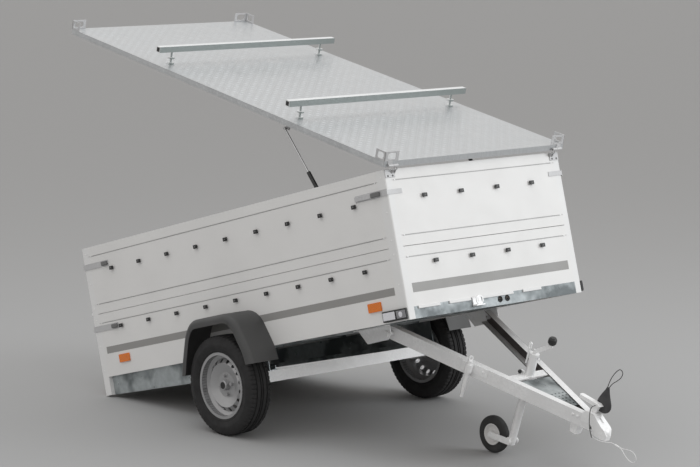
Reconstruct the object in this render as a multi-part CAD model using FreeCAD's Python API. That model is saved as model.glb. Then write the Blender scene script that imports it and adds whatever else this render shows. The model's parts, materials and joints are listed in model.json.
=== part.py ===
import FreeCAD, Part
import math
import os

# A folding box trailer, tipped back on its rear posts, with a hinged lid and a
# folding V drawbar that stands on its jockey wheel. Lengths in millimetres.
# The box is drawn level about the middle of the wheel axle: x forward, y left,
# z up. The drawbar is drawn level about its own hinge, the lid about its hinge
# and closed, and each is then turned to where it rests.

V = FreeCAD.Vector
CROSSWAYS = V(0, 1, 0)

# Clearances that serve the whole trailer
cut_over = 2.0
seat_gap = 0.3
pin_gap = 0.5
seam_gap = 3.0

# Box and its boards
box_length = 2650.0
box_width = 1250.0
board_thick = 25.0
box_top = 912.0
board_seam = 524.0
board_foot = 161.0
front_board_foot = 222.0
axle_to_front = 1370.0
groove_inset = 55.0
groove_width = 6.0
groove_depth = 2.5
post_side_leg = 60.0
post_end_leg = 45.0
post_round = 9.0
rear_post_foot = 56.0

# Floor, cross members, beams and rails under the box
floor_thick = 12.0
member_height = 40.0
member_width = 45.0
member_wall = 3.0
member_count = 4
front_beam_depth = 60.0
rear_beam_height = 92.0
rear_beam_depth = 50.0
rail_wall = 3.0
rail_flange = 45.0
rail_lip = 24.0
rail_reach = 200.0
rail_foot_at_axle = 34.0
rail_taper_back = 90.0
cable_hole = 12.0
cable_hole_y = 18.0
cable_hole_pitch = 52.0

# Wheels, hubs and axle
wheel_clear = 22.0
tyre_radius = 268.0
tyre_width = 150.0
tread_width = 118.0
rim_radius = 178.0
rim_seat = 166.0
rim_width = 126.0
rim_lip = 9.0
rim_wall = 3.5
rim_well = 146.0
rim_well_width = 34.0
disc_offset = 24.0
disc_crown = 40.0
disc_crown_radius = 118.0
disc_bore = 29.0
rim_hole = 11.0
rim_hole_count = 16
bolt_circle = 100.0
bolt_count = 4
bolt_radius = 9.0
bolt_length = 14.0
hub_flange_radius = 66.0
hub_flange_thick = 10.0
hub_barrel_radius = 38.0
hub_barrel_length = 62.0
cap_radius = 27.0
cap_length = 26.0
axle_tube = 60.0
axle_tube_wall = 4.0
axle_ahead = 120.0
arm_thick = 22.0
arm_radius = 34.0
spindle_radius = 17.0
axle_bracket = 110.0

# Fenders
fender_cover = 15.0
fender_wall = 4.0
fender_lip = 48.0
fender_foot_x = 305.0
fender_foot_z = 86.0
fender_knee_x = 285.0
fender_knee_z = 150.0
fender_brow_x = 210.0
fender_brow_z = 312.0
fender_top_x = 150.0
fender_top_z = 371.0
fender_round = 26.0

# Small fittings on the box
knob_length = 28.0
knob_width = 20.0
knob_neck = 14.0
knob_height = 13.0
knob_head = 7.0
knob_upper = 766.0
knob_lower = 435.0
side_knob_count = 9
side_knob_front_inset = 255.0
side_knob_rear_inset = 271.0
end_knob_count = 4
end_knob_pitch = 256.0
reflector_length = 98.0
reflector_height = 46.0
reflector_thick = 7.0
reflector_mid = 252.0
rear_reflector_inset = 248.0
front_reflector_inset = 232.0
marker_side = 177.0
marker_front = 34.0
marker_height = 55.0
marker_mid = 195.0
marker_thick = 16.0
lens_margin = 9.0
lens_proud = 3.0
round_lens_radius = 17.0
round_lens_back = 36.0
lens_rear_margin = 10.0
latch_length = 238.0
latch_height = 34.0
latch_thick = 3.0
latch_upper = 800.0
latch_lower = 440.0
latch_wrap = 98.0
latch_wrap_height = 24.0
lever_length = 52.0
lever_height = 24.0
lever_thick = 14.0
lever_round = 6.0
lamp_width = 210.0
lamp_height = 78.0
lamp_thick = 26.0
lamp_inset = 12.0

# Tailgates
gate_side_gap = 3.0
gate_axis_back = 16.0
gate_axis_rise = 4.0
gate_barrel = 8.0
gate_pin = 4.0
gate_hinge_length = 60.0
gate_hinge_share = 0.56
gate_leaf_height = 70.0
gate_leaf_thick = 4.0

# Lid, its hinges, brackets and roof bars
lid_extra_length = 32.0
lid_side_lap = 15.0
lid_depth = 30.0
lid_plate = 3.0
lid_lift = 3.0
lid_axis_ahead = 36.0
lid_axis_rise = 12.0
lid_overhang = 27.0
lid_open = 26.54
hinge_inset = 40.0
hinge_barrel = 8.0
hinge_pin = 4.5
hinge_leaf_width = 50.0
hinge_leaf_thick = 4.0
hinge_leaf_drop = 70.0
corner_leg = 75.0
corner_height = 72.0
corner_wall = 4.0
corner_slot = 16.0
bar_size = 32.0
bar_wall = 2.0
bar_inset = 5.0
bar_rise = 84.0
bar_front_share = 0.2927
bar_rear_share = 0.7058
bar_cap = 8.0
bar_post_inset = 95.0
bar_post_radius = 6.0
bar_nut_radius = 20.0
bar_nut_thick = 8.0
bar_nut_rise = 30.0

# Gas struts, drawn in the box frame as the lid stands open
strut_inset = 22.0
strut_foot_back = 440.0
strut_foot_drop = 260.0
strut_head_back = 740.0
strut_head_rise = 345.0
strut_cylinder = 11.0
strut_rod = 5.0
strut_cylinder_length = 392.0
strut_rod_length = 300.0
strut_eye = 9.0
strut_eye_thick = 12.0
strut_stud = 4.0
strut_plate = 5.0
strut_plate_width = 40.0
strut_base_height = 70.0

# Folding drawbar, about its hinge
hinge_ahead = 930.0
hinge_rise = 116.0
fold_angle = 32.8
beam_height = 70.0
beam_flange = 40.0
beam_wall = 4.0
beam_half = 357.0
beam_nose_half = 21.6
beam_tail = 18.0
beam_reach = 1130.0
beam_split = 1.0
tilt_pin = 10.0
tilt_plate = 6.0
tilt_plate_gap = 29.0
tilt_head = 16.0
tilt_plate_rear = 710.0
tilt_plate_foot = 81.0
tilt_plate_round = 30.0
plate_rear_back = 430.0
plate_front_back = 139.0
plate_thick = 4.0
plate_hole_columns = 5
plate_hole_rows = 4
plate_hole = 9.0
plate_hole_pitch = 26.0
lock_y = 150.0
lock_width = 60.0
lock_height = 90.0
lock_thick = 6.0
lock_ring = 22.0
lock_ring_wire = 5.0

# Coupling
ball_radius = 25.0
ball_reach = 77.0
ball_rise = -14.0
socket_gap = 0.3
socket_wall = 7.0
coupling_half = 28.0
coupling_wall = 5.0
coupling_skirt = 36.0
coupling_lap = 52.0
coupling_rise = 40.0
hump_rise = 57.0
hump_rear = 14.0
hump_front = 60.0
brow_back = 27.0
brow_rise = 34.0
nose_brow = 17.0
nose_brow_rise = 12.0
coupling_slot_back = 35.0
coupling_slot_length = 34.0
coupling_slot_width = 12.0
coupling_slot_depth = 9.0
handle_back = 123.0
handle_ahead = 20.0
handle_thick = 16.0
handle_width = 30.0
handle_rise = 106.0
handle_arm = 15.0
handle_arm_lean = 11.0
handle_arm_back = 18.0
handle_round = 10.0
foot_back = 125.0
foot_length = 58.0
foot_drop = 62.0
foot_taper = 10.0
foot_half = 22.0
foot_wall = 4.0

# Jockey wheel and prop leg
jockey_ahead = 655.0
jockey_tube_radius = 24.0
jockey_tube_wall = 3.0
jockey_tube_top = 140.0
jockey_tube_foot = -100.0
jockey_inner_radius = 20.0
jockey_inner_top = -16.0
jockey_cap_radius = 26.0
jockey_cap_height = 14.0
jockey_trail = 124.0
jockey_radius = 97.0
jockey_tyre_width = 40.0
jockey_tyre_depth = 28.0
jockey_hub = 20.0
jockey_bolt = 8.0
fork_plate = 6.0
fork_gap = 6.0
fork_top = 40.0
fork_foot = 24.0
fork_foot_round = 6.0
fork_arm = 28.0
fork_spigot_radius = 8.0
fork_spigot_length = 24.0
fork_bolt_head = 6.0
crank_foot = 9.0
crank_start = 16.0
crank_reach = 75.0
crank_lift = 78.0
crank_plate = 6.0
crank_width = 24.0
crank_spindle = 6.0
crank_knob_gap = 8.0
crank_knob_radius = 22.0
crank_knob_length = 40.0
crank_knob_waist = 15.0
pull_pin_radius = 5.0
pull_pin_back = 18.0
pull_pin_side = 27.0
pull_lug_height = 24.0
pull_pin_foot = 96.0
pull_pin_top = 176.0
pull_ring_height = 40.0
pull_ring_width = 20.0
pull_ring_wire = 6.0
clamp_height = 60.0
clamp_wall = 7.0
clamp_ear = 26.0
clamp_gap = 1.0
clamp_screw_radius = 5.0
clamp_screw_reach = 42.0
clamp_lever_lift = 36.0
clamp_lever_lean = 12.0
clamp_knob_radius = 10.0
prop_ahead = 462.0
prop_radius = 13.0
prop_top = 54.0
prop_taper_top = -60.0
prop_tip_radius = 9.0
prop_foot = -150.0
prop_ring = 12.0
prop_ring_wire = 3.5
prop_clamp_height = 46.0
prop_plate_length = 92.0
prop_plate_height = 44.0
prop_plate_thick = 4.0
prop_bolt_radius = 7.0
prop_bolt_ahead = 66.0

# Cords on the drawbar, in the drawbar frame: ahead, left, up
breakaway_radius = 1.6
cord_radius = 2.0
ferrule_radius = 4.5
ferrule_length = 28.0
breakaway_lug = 8.0
breakaway_rise = -46.0
breakaway_points = [V(1160, -4, -46), V(1160, -22, -46), V(1172, -36, -46), V(1200, -41, -45),
                    V(1232, -34, -42), V(1256, -14, -38), V(1270, 0, -34), V(1290, 0, -34)]
loop_points = [V(1318, 0, -32), V(1340, 0, -32), V(1366, 0, -22), V(1398, 0, -13), V(1422, 0, -19),
               V(1438, 0, -36), V(1434, 0, -58), V(1414, 0, -68), V(1386, 0, -64), V(1360, 0, -52),
               V(1340, 0, -36), V(1318, 0, -36)]
lock_points = [V(1122, -15, 98), V(1122, -46, 98), V(1126, -46, 60), V(1138, -46, 14), V(1156, -47, -20),
               V(1178, -48, -46)]
pouch_loop = [V(1132, 29, 200), V(1134, 29, 226), V(1142, 29, 262), V(1158, 29, 296), V(1176, 29, 320),
              V(1200, 29, 312), V(1198, 29, 284), V(1178, 29, 254), V(1152, 29, 226), V(1142, 29, 200)]
pouch_sections = [(1104, 1150, 10, 60), (1092, 1176, 13.5, 105), (1110, 1160, 11, 150), (1126, 1148, 7, 200)]
pouch_y = 29.0
bend_share = 0.45

# Shares that hold for every size
parallel_share = 0.01


def block(x0, x1, y0, y1, z0, z1):
    """A box between two corners, given in any order."""
    low = V(min(x0, x1), min(y0, y1), min(z0, z1))
    return Part.makeBox(abs(x1 - x0), abs(y1 - y0), abs(z1 - z0), low)


def rod(start, end, radius):
    """A round bar from one point to another."""
    way = end - start
    return Part.makeCylinder(radius, way.Length, start, way)


def pipe(start, end, outer, bore):
    """A round tube from one point to another."""
    return rod(start, end, outer).cut(rod(start, end, bore))


def face_of(points):
    """A flat face with straight edges between the points."""
    return Part.Face(Part.makePolygon(points + [points[0]]))


def slab_y(points, y0, y1):
    """An outline of (x, z) points, as thick as from y0 to y1."""
    outline = [V(x, min(y0, y1), z) for x, z in points]
    return face_of(outline).extrude(V(0, abs(y1 - y0), 0))


def slab_x(points, x0, x1):
    """An outline of (y, z) points, as long as from x0 to x1."""
    outline = [V(min(x0, x1), y, z) for y, z in points]
    return face_of(outline).extrude(V(abs(x1 - x0), 0, 0))


def slab_z(points, z0, z1):
    """An outline of (x, y) points, as high as from z0 to z1."""
    outline = [V(x, y, min(z0, z1)) for x, y in points]
    return face_of(outline).extrude(V(0, 0, abs(z1 - z0)))


def turned(points):
    """A profile of (radius, y) points, turned about the y axis."""
    return face_of([V(r, y, 0) for r, y in points]).revolve(V(0, 0, 0), CROSSWAYS, 360)


def fused(shapes):
    """One shape from several that touch."""
    return shapes[0].multiFuse(shapes[1:]).removeSplitter()


def mirrored(shape):
    """The same piece on the other side of the middle plane."""
    return shape.mirror(V(0, 0, 0), CROSSWAYS)


def moved(shape, x, y, z):
    """A copy of the shape, shifted."""
    copy = shape.copy()
    copy.translate(V(x, y, z))
    return copy


def edges_along(shape, way):
    """The straight edges of a shape that run along a direction."""
    found = []
    for edge in shape.Edges:
        run = edge.Vertexes[-1].Point - edge.Vertexes[0].Point
        if run.Length > 0 and run.cross(way).Length < run.Length * parallel_share:
            found.append(edge)
    return found


def route(points, radius):
    """A tube of straight runs joined by tangent arcs, and its bend radii."""
    edges = []
    radii = []
    reach = points[0]
    for before, corner, after in zip(points, points[1:], points[2:]):
        back = (before - corner).normalize()
        on = (after - corner).normalize()
        half_turn = (math.pi - back.getAngle(on)) / 2
        shorter = min((before - corner).Length, (after - corner).Length)
        trim = bend_share * shorter
        bend = trim / math.tan(half_turn)
        start = corner + back * trim
        end = corner + on * trim
        middle_way = (back + on).normalize()
        centre = corner + middle_way * math.hypot(bend, trim)
        middle = centre - middle_way * bend
        edges.append(Part.LineSegment(reach, start).toShape())
        edges.append(Part.Arc(start, middle, end).toShape())
        radii.append(bend)
        reach = end
    edges.append(Part.LineSegment(reach, points[-1]).toShape())
    path = Part.Wire(edges)
    ring = Part.Wire(Part.makeCircle(radius, points[0], points[1] - points[0]))
    tube = path.makePipeShell([ring], True, True, 2)
    expected = math.pi * radius ** 2 * path.Length
    print("bends", [round(bend) for bend in radii], "length", round(path.Length),
          "volume share", round(tube.Volume / expected, 3))
    return tube


# Places that follow from the sizes above
front_x = axle_to_front
rear_x = axle_to_front - box_length
half_width = box_width / 2
inner_half = half_width - board_thick
floor_under = board_foot + member_height
floor_top = floor_under + floor_thick
wheel_y = half_width + wheel_clear + tyre_width / 2
fender_outer = wheel_y + tyre_width / 2 + fender_cover
gate_half = half_width - post_end_leg - gate_side_gap
gate_hinge_y = gate_hinge_share * (gate_half - lamp_inset - lamp_width)
gate_axis_x = rear_x - gate_axis_back
lower_gate_foot = board_foot + seam_gap
upper_gate_foot = board_seam + seam_gap
lid_axis_x = front_x + lid_axis_ahead
lid_axis_z = box_top + lid_axis_rise
rail_y = inner_half
side_knob_pitch = (box_length - side_knob_front_inset - side_knob_rear_inset) / (side_knob_count - 1)
lid_length = box_length + lid_extra_length
lid_width = box_width + 2 * lid_side_lap
hinge_y = inner_half - hinge_inset
bar_length = lid_width - 2 * bar_inset
bar_post_y = bar_length / 2 - bar_post_inset
bar_front = bar_front_share * lid_length
bar_rear = bar_rear_share * lid_length
strut_y = inner_half - strut_inset
beam_slope = (beam_half - beam_nose_half) / beam_reach
beam_slant = math.atan(beam_slope)
tilt_plate_y = beam_half + tilt_plate_gap
plate_rear = beam_reach - plate_rear_back
plate_front = beam_reach - plate_front_back
ball_ahead = beam_reach + ball_reach
socket_reach = ball_radius + socket_gap + socket_wall
coupling_rear = beam_reach - coupling_lap
handle_rear = beam_reach - handle_back
handle_front = beam_reach + handle_ahead
tail_angle = math.atan2(rear_post_foot, -rear_x)
tip_angle = math.degrees(math.asin(tyre_radius / math.hypot(rear_x, rear_post_foot)) + tail_angle)


def box_frame(shift):
    """From the level box to where the tipped box rests."""
    turn = FreeCAD.Rotation(CROSSWAYS, -tip_angle)
    return FreeCAD.Placement(V(-shift, 0, tyre_radius), turn)


def drawbar_frame(shift):
    """From the drawbar's own frame to where the folded drawbar rests."""
    turn = FreeCAD.Rotation(CROSSWAYS, fold_angle)
    return box_frame(shift) * FreeCAD.Placement(V(hinge_ahead, 0, hinge_rise), turn)


def lid_frame(shift):
    """From the closed lid about its hinge to where the open lid rests."""
    turn = FreeCAD.Rotation(CROSSWAYS, lid_open)
    return box_frame(shift) * FreeCAD.Placement(V(lid_axis_x, 0, lid_axis_z), turn)


lid_rear_x = lid_overhang - lid_axis_ahead - lid_length
lid_under = lid_lift - lid_axis_rise
lid_top = lid_under + lid_depth
nose_tip = drawbar_frame(0).multVec(V(ball_ahead, 0, ball_rise)).x + socket_reach
lid_tail = min(lid_frame(0).multVec(V(lid_rear_x, 0, z)).x for z in (lid_under, lid_top))
middle_x = (nose_tip + lid_tail) / 2

BOX = box_frame(middle_x)
DRAWBAR = drawbar_frame(middle_x)
LID = lid_frame(middle_x)

# The jockey wheel's middle is as far below the tube's foot as brings its tread to the floor
drawbar_pitch = math.radians(fold_angle - tip_angle)
hub_ahead = jockey_ahead - jockey_trail
hub_reach = DRAWBAR.multVec(V(hub_ahead, 0, 0)).z - jockey_radius
hub_rise = -hub_reach / math.cos(drawbar_pitch)


def box_grooves(low, high, faces):
    """Level grooves pressed into a board's outer face, one for each height."""
    cuts = []
    for height in faces:
        cuts.append(block(low, high, half_width - groove_depth, half_width + cut_over,
                          height - groove_width / 2, height + groove_width / 2))
    return cuts


def side_board(foot, top, groove_heights):
    """One left side board between the corner posts."""
    low = rear_x + post_side_leg
    high = front_x - post_side_leg
    board = block(low, high, inner_half, half_width, foot, top)
    return board.cut(box_grooves(low - cut_over, high + cut_over, groove_heights))


def side_lower():
    return side_board(board_foot, board_seam - seam_gap / 2, [board_seam - groove_inset])


def side_upper():
    return side_board(board_seam + seam_gap / 2, box_top,
                      [board_seam + groove_inset, box_top - groove_inset])


def end_board(outer_x, inward, half, foot, top, groove_heights):
    """A board across the box, whose outer face is at outer_x."""
    board = block(outer_x, outer_x + inward * board_thick, -half, half, foot, top)
    for height in groove_heights:
        board = board.cut(block(outer_x - inward * cut_over, outer_x + inward * groove_depth,
                                -half - cut_over, half + cut_over,
                                height - groove_width / 2, height + groove_width / 2))
    return board


def front_lower():
    half = half_width - post_end_leg
    return end_board(front_x, -1, half, front_board_foot, board_seam - seam_gap / 2,
                     [board_seam - groove_inset])


def front_upper():
    half = half_width - post_end_leg
    return end_board(front_x, -1, half, board_seam + seam_gap / 2, box_top,
                     [board_seam + groove_inset, box_top - groove_inset])


def corner_post(outer_x, inward, foot):
    """A left corner post: an angle section with a rounded outer corner."""
    inner_x = outer_x + inward * board_thick
    side_end = outer_x + inward * post_side_leg
    end_y = half_width - post_end_leg
    outline = [(outer_x, half_width), (side_end, half_width), (side_end, inner_half),
               (inner_x, inner_half), (inner_x, end_y), (outer_x, end_y)]
    post = slab_z(outline, foot, box_top)
    corner = [edge for edge in edges_along(post, V(0, 0, 1))
              if abs(edge.Vertexes[0].X - outer_x) < seat_gap
              and abs(edge.Vertexes[0].Y - half_width) < seat_gap]
    return post.makeFillet(post_round, corner)


def corner_posts():
    front = corner_post(front_x, -1, board_foot)
    rear = corner_post(rear_x, 1, rear_post_foot)
    return [front, rear, mirrored(front), mirrored(rear)]


def floor_panel():
    return block(rear_x + post_side_leg, front_x - front_beam_depth, -inner_half, inner_half,
                 floor_under, floor_top)


def channel_member(x):
    """A cross member: a channel on its side that opens to the rear."""
    outer = block(x, x + member_width, -inner_half, inner_half, board_foot, floor_under)
    hollow = block(x - cut_over, x + member_width - member_wall,
                   -inner_half - cut_over, inner_half + cut_over,
                   board_foot + member_wall, floor_under - member_wall)
    return outer.cut(hollow)


def front_beam():
    """The galvanised beam below the front board, with two cable holes."""
    half = half_width - post_end_leg
    outer = block(front_x - front_beam_depth, front_x, -half, half, board_foot, front_board_foot)
    hollow = block(front_x - front_beam_depth - cut_over, front_x - member_wall,
                   -half - cut_over, half + cut_over,
                   board_foot + member_wall, front_board_foot - member_wall)
    beam = outer.cut(hollow)
    hole_z = (board_foot + front_board_foot) / 2
    for shift in (0, cable_hole_pitch):
        start = V(front_x - member_wall - cut_over, cable_hole_y + shift, hole_z)
        beam = beam.cut(rod(start, start + V(member_wall + 2 * cut_over, 0, 0), cable_hole))
    return beam


def rear_beam():
    """The beam below the tailgate that carries the rear lamps."""
    half = rail_y - rail_flange - seat_gap
    foot = board_foot - rear_beam_height
    outer = block(rear_x, rear_x + rear_beam_depth, -half, half, foot, board_foot)
    hollow = block(rear_x + member_wall, rear_x + rear_beam_depth + cut_over,
                   -half - cut_over, half + cut_over, foot + member_wall, board_foot - member_wall)
    return outer.cut(hollow)


def chassis_frame():
    """Front beam, rear beam and the cross members under the floor."""
    pieces = [front_beam(), rear_beam(), channel_member(hinge_ahead + tilt_plate_round - member_width)]
    first = rear_x + post_side_leg
    pitch = (tilt_plate_rear - first) / (member_count - 1)
    for index in range(member_count):
        pieces.append(channel_member(first + index * pitch))
    return pieces


def skirt_rail():
    """The left skirt rail: a web that deepens to the axle, a flange and a lip."""
    rear_end = rear_x + board_thick + seat_gap
    rear_foot = rear_post_foot
    web_outline = [(rear_end, board_foot), (rear_end, rear_foot),
                   (-rail_taper_back, rail_foot_at_axle), (rail_reach, rail_foot_at_axle),
                   (rail_reach, board_foot)]
    outer = slab_y(web_outline, rail_y - rail_flange, rail_y)
    hollow_outline = [(rear_end - cut_over, board_foot + cut_over),
                      (rear_end - cut_over, rear_foot + rail_wall),
                      (-rail_taper_back, rail_foot_at_axle + rail_wall),
                      (rail_reach + cut_over, rail_foot_at_axle + rail_wall),
                      (rail_reach + cut_over, board_foot + cut_over)]
    hollow = slab_y(hollow_outline, rail_y - rail_flange + rail_wall, rail_y - rail_wall)
    lip_outline = [(rear_end - cut_over, board_foot + cut_over),
                   (rear_end - cut_over, rear_foot + rail_lip),
                   (-rail_taper_back, rail_foot_at_axle + rail_lip),
                   (rail_reach + cut_over, rail_foot_at_axle + rail_lip),
                   (rail_reach + cut_over, board_foot + cut_over)]
    above_lip = slab_y(lip_outline, rail_y - rail_flange - cut_over, rail_y - rail_wall)
    return outer.cut(hollow).cut(above_lip)


def skirt_rails():
    rail = skirt_rail()
    return [rail, mirrored(rail)]


def fender_outline(inset, foot):
    """The fender's arch as (x, z) points, moved inwards by inset, its ends at a height."""
    front = [(fender_foot_x - inset, foot), (fender_knee_x - inset, fender_knee_z),
             (fender_brow_x - inset, fender_brow_z), (fender_top_x - inset, fender_top_z - inset)]
    return front + [(-x, z) for x, z in reversed(front)]


def fender():
    """The left fender: a formed shell with a lip round the wheel opening."""
    below = fender_foot_z - cut_over
    body = slab_y(fender_outline(0, fender_foot_z), half_width + seat_gap, fender_outer)
    ridge = [edge for edge in edges_along(body, CROSSWAYS)
             if edge.Vertexes[0].Z > fender_foot_z + fender_round]
    body = body.makeFillet(fender_round, ridge)
    hollow = slab_y(fender_outline(fender_wall, below), half_width - cut_over,
                    fender_outer - fender_wall)
    opening = slab_y(fender_outline(fender_lip, below), fender_outer - fender_wall - cut_over,
                     fender_outer + cut_over)
    return body.cut(hollow).cut(opening)


def tyre():
    """The left road tyre: bead seats, bulging side walls and a flat tread."""
    bead = rim_width / 2 - rim_wall
    half = tyre_width / 2
    crown = tread_width / 2
    bulge_radius = (tyre_radius + rim_radius) / 2
    side = [(rim_seat, bead), (rim_radius, bead), (bulge_radius, half), (tyre_radius, crown)]
    other = [(radius, -y) for radius, y in reversed(side)]
    return moved(turned(side + other), 0, wheel_y, 0)


def rim_barrel():
    """The rim's drop-centre barrel."""
    half = rim_width / 2
    well = rim_well_width / 2
    seat_inner = half - rim_wall - rim_lip
    outer = [(rim_radius, half), (rim_radius, half - rim_wall), (rim_seat, half - rim_wall),
             (rim_seat, well + rim_lip), (rim_well, well), (rim_well, -well),
             (rim_seat, -well - rim_lip), (rim_seat, rim_wall - half), (rim_radius, rim_wall - half),
             (rim_radius, -half)]
    inner = [(rim_seat - rim_wall, -half), (rim_seat - rim_wall, -seat_inner),
             (rim_seat - rim_wall, -well - rim_lip - rim_wall),
             (rim_well - rim_wall, -well - rim_wall / 2), (rim_well - rim_wall, well + rim_wall / 2),
             (rim_seat - rim_wall, well + rim_lip + rim_wall), (rim_seat - rim_wall, seat_inner),
             (rim_seat - rim_wall, half)]
    return turned(outer + inner)


def rim_disc():
    """The pressed wheel disc, from its hub face out to the barrel."""
    edge = rim_well - rim_wall
    slope_y = disc_offset - rim_wall
    outline = [(disc_bore, disc_offset), (bolt_circle / 2 + bolt_radius * 2, disc_offset),
               (disc_crown_radius, disc_crown), (edge, slope_y),
               (edge, slope_y - rim_wall), (disc_crown_radius, disc_crown - rim_wall),
               (bolt_circle / 2 + bolt_radius * 2, disc_offset - rim_wall),
               (disc_bore, disc_offset - rim_wall)]
    disc = turned(outline)
    cuts = []
    for index in range(rim_hole_count):
        angle = 2 * math.pi * index / rim_hole_count
        middle = (disc_crown_radius + edge) / 2
        place = V(middle * math.cos(angle), -cut_over, middle * math.sin(angle))
        cuts.append(rod(place, place + V(0, disc_crown + 2 * cut_over, 0), rim_hole))
    for index in range(bolt_count):
        cuts.append(bolt_shank(index, -cut_over, disc_crown, bolt_radius / 2 + pin_gap))
    return disc.cut(cuts)


def bolt_shank(index, low, high, radius):
    """One of the wheel bolts' places, as a bar along the axle."""
    angle = 2 * math.pi * index / bolt_count
    place = V(bolt_circle / 2 * math.cos(angle), 0, bolt_circle / 2 * math.sin(angle))
    return rod(place + V(0, low, 0), place + V(0, high, 0), radius)


def rim():
    """The left rim."""
    return moved(fused([rim_barrel(), rim_disc()]), 0, wheel_y, 0)


def hub():
    """The left hub: flange, barrel, bolts with heads and the grease cap."""
    face = disc_offset - rim_wall
    back = face - hub_barrel_length
    shapes = [turned([(0, back), (hub_barrel_radius, back), (hub_barrel_radius, face - hub_flange_thick),
                      (hub_flange_radius, face - hub_flange_thick), (hub_flange_radius, face),
                      (disc_bore - pin_gap, face), (disc_bore - pin_gap, disc_offset),
                      (cap_radius, disc_offset), (cap_radius, disc_offset + cap_length - rim_wall),
                      (cap_radius - rim_wall, disc_offset + cap_length), (0, disc_offset + cap_length)])]
    for index in range(bolt_count):
        shapes.append(bolt_shank(index, face, disc_offset + bolt_length, bolt_radius / 2))
        shapes.append(bolt_shank(index, disc_offset, disc_offset + bolt_length, bolt_radius))
    body = fused(shapes)
    socket = rod(V(0, back - cut_over, 0), V(0, face - hub_flange_thick, 0), spindle_radius + pin_gap)
    return moved(body.cut(socket), 0, wheel_y, 0)


def axle_beam():
    """Torsion axle: square tube under the rails, with an arm and a spindle on each side."""
    half = axle_tube / 2
    tube_z = rail_foot_at_axle - half
    reach = inner_half
    outer = block(axle_ahead - half, axle_ahead + half, -reach, reach, tube_z - half, tube_z + half)
    hollow = block(axle_ahead - half + axle_tube_wall, axle_ahead + half - axle_tube_wall,
                   -reach - cut_over, reach + cut_over,
                   tube_z - half + axle_tube_wall, tube_z + half - axle_tube_wall)
    shapes = [outer.cut(hollow)]
    for side in (-1, 1):
        inner_y = side * reach
        outer_y = side * (reach + arm_thick)
        pivot = V(axle_ahead, inner_y, tube_z)
        shapes.append(rod(pivot, V(axle_ahead, outer_y, tube_z), arm_radius))
        shapes.append(rod(V(0, inner_y, 0), V(0, outer_y, 0), arm_radius))
        shapes.append(slab_y([(0, arm_radius), (axle_ahead, tube_z + arm_radius),
                              (axle_ahead, tube_z - arm_radius), (0, -arm_radius)], inner_y, outer_y))
        tip = side * (wheel_y + disc_offset - rim_wall - hub_flange_thick - pin_gap)
        shapes.append(rod(V(0, outer_y, 0), V(0, tip, 0), spindle_radius))
        shapes.append(block(axle_ahead - axle_bracket / 2, axle_ahead + axle_bracket / 2,
                            side * (rail_y - rail_flange), side * rail_y,
                            rail_foot_at_axle - rail_wall, rail_foot_at_axle))
    return fused(shapes)


def tilt_bracket():
    """The left drawbar hinge plate with its pin."""
    nose = hinge_ahead + tilt_plate_round
    outline = [(tilt_plate_rear, board_foot), (tilt_plate_rear + tilt_plate_round * 2, tilt_plate_foot),
               (hinge_ahead, hinge_rise - tilt_plate_round), (nose, hinge_rise), (nose, board_foot)]
    plate = slab_y(outline, tilt_plate_y, tilt_plate_y + tilt_plate)
    outer_y = tilt_plate_y + tilt_plate
    top = block(tilt_plate_rear, nose, outer_y, outer_y + tilt_plate_round,
                board_foot - tilt_plate, board_foot)
    pin = rod(V(hinge_ahead, beam_half - beam_flange, hinge_rise),
              V(hinge_ahead, tilt_plate_y + tilt_plate + tilt_pin, hinge_rise), tilt_pin)
    head = rod(V(hinge_ahead, tilt_plate_y + tilt_plate, hinge_rise),
               V(hinge_ahead, tilt_plate_y + tilt_plate + tilt_pin, hinge_rise), tilt_head)
    return fused([plate, top, pin, head])


def tilt_brackets():
    bracket = tilt_bracket()
    return [bracket, mirrored(bracket)]


def tilt_lock():
    """The catch on the front beam that the closed drawbar locks into, with its ring."""
    y0 = -lock_y - lock_width / 2
    y1 = -lock_y + lock_width / 2
    foot = front_board_foot - seat_gap - lock_height / 2
    plate = block(front_x + seat_gap, front_x + lock_thick, y0, y1, foot, foot + lock_height / 2)
    shelf = block(front_x + seat_gap, front_x + lock_width / 2, y0, y1, foot, foot + lock_thick)
    ring_x = front_x + lock_width / 2 - lock_ring_wire
    middle = V(ring_x, -lock_y, foot + lock_thick + lock_ring)
    half = V(lock_ring_wire / 2, 0, 0)
    ring = pipe(middle - half, middle + half, lock_ring + lock_ring_wire / 2, lock_ring - lock_ring_wire / 2)
    pin = rod(V(front_x + lock_thick, -lock_y, foot + lock_thick),
              V(front_x + lock_width / 2, -lock_y, foot + lock_thick), lock_ring_wire)
    return fused([plate, shelf, pin, ring])


def knob(place, way):
    """A tie-down knob: a square neck with a wider oblong head."""
    along = way.cross(V(0, 0, 1))
    shapes = []
    for length, width, start in ((knob_neck, knob_neck, 0),
                                 (knob_length, knob_width, knob_height - knob_head)):
        corner = along * (length / 2) + V(0, 0, width / 2)
        low = place + way * start - corner
        high = place + way * knob_height + corner
        shapes.append(block(low.x, high.x, low.y, high.y, low.z, high.z))
    return fused(shapes)


def cover_knobs():
    """The rows of tie-down knobs along both sides and across the front."""
    knobs = []
    for height in (knob_upper, knob_lower):
        for index in range(side_knob_count):
            x = front_x - side_knob_front_inset - index * side_knob_pitch
            for side in (-1, 1):
                knobs.append(knob(V(x, side * (half_width + seat_gap), height), V(0, side, 0)))
        for index in range(end_knob_count):
            y = (index - (end_knob_count - 1) / 2) * end_knob_pitch
            knobs.append(knob(V(front_x + seat_gap, y, height), V(1, 0, 0)))
    return knobs


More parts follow.
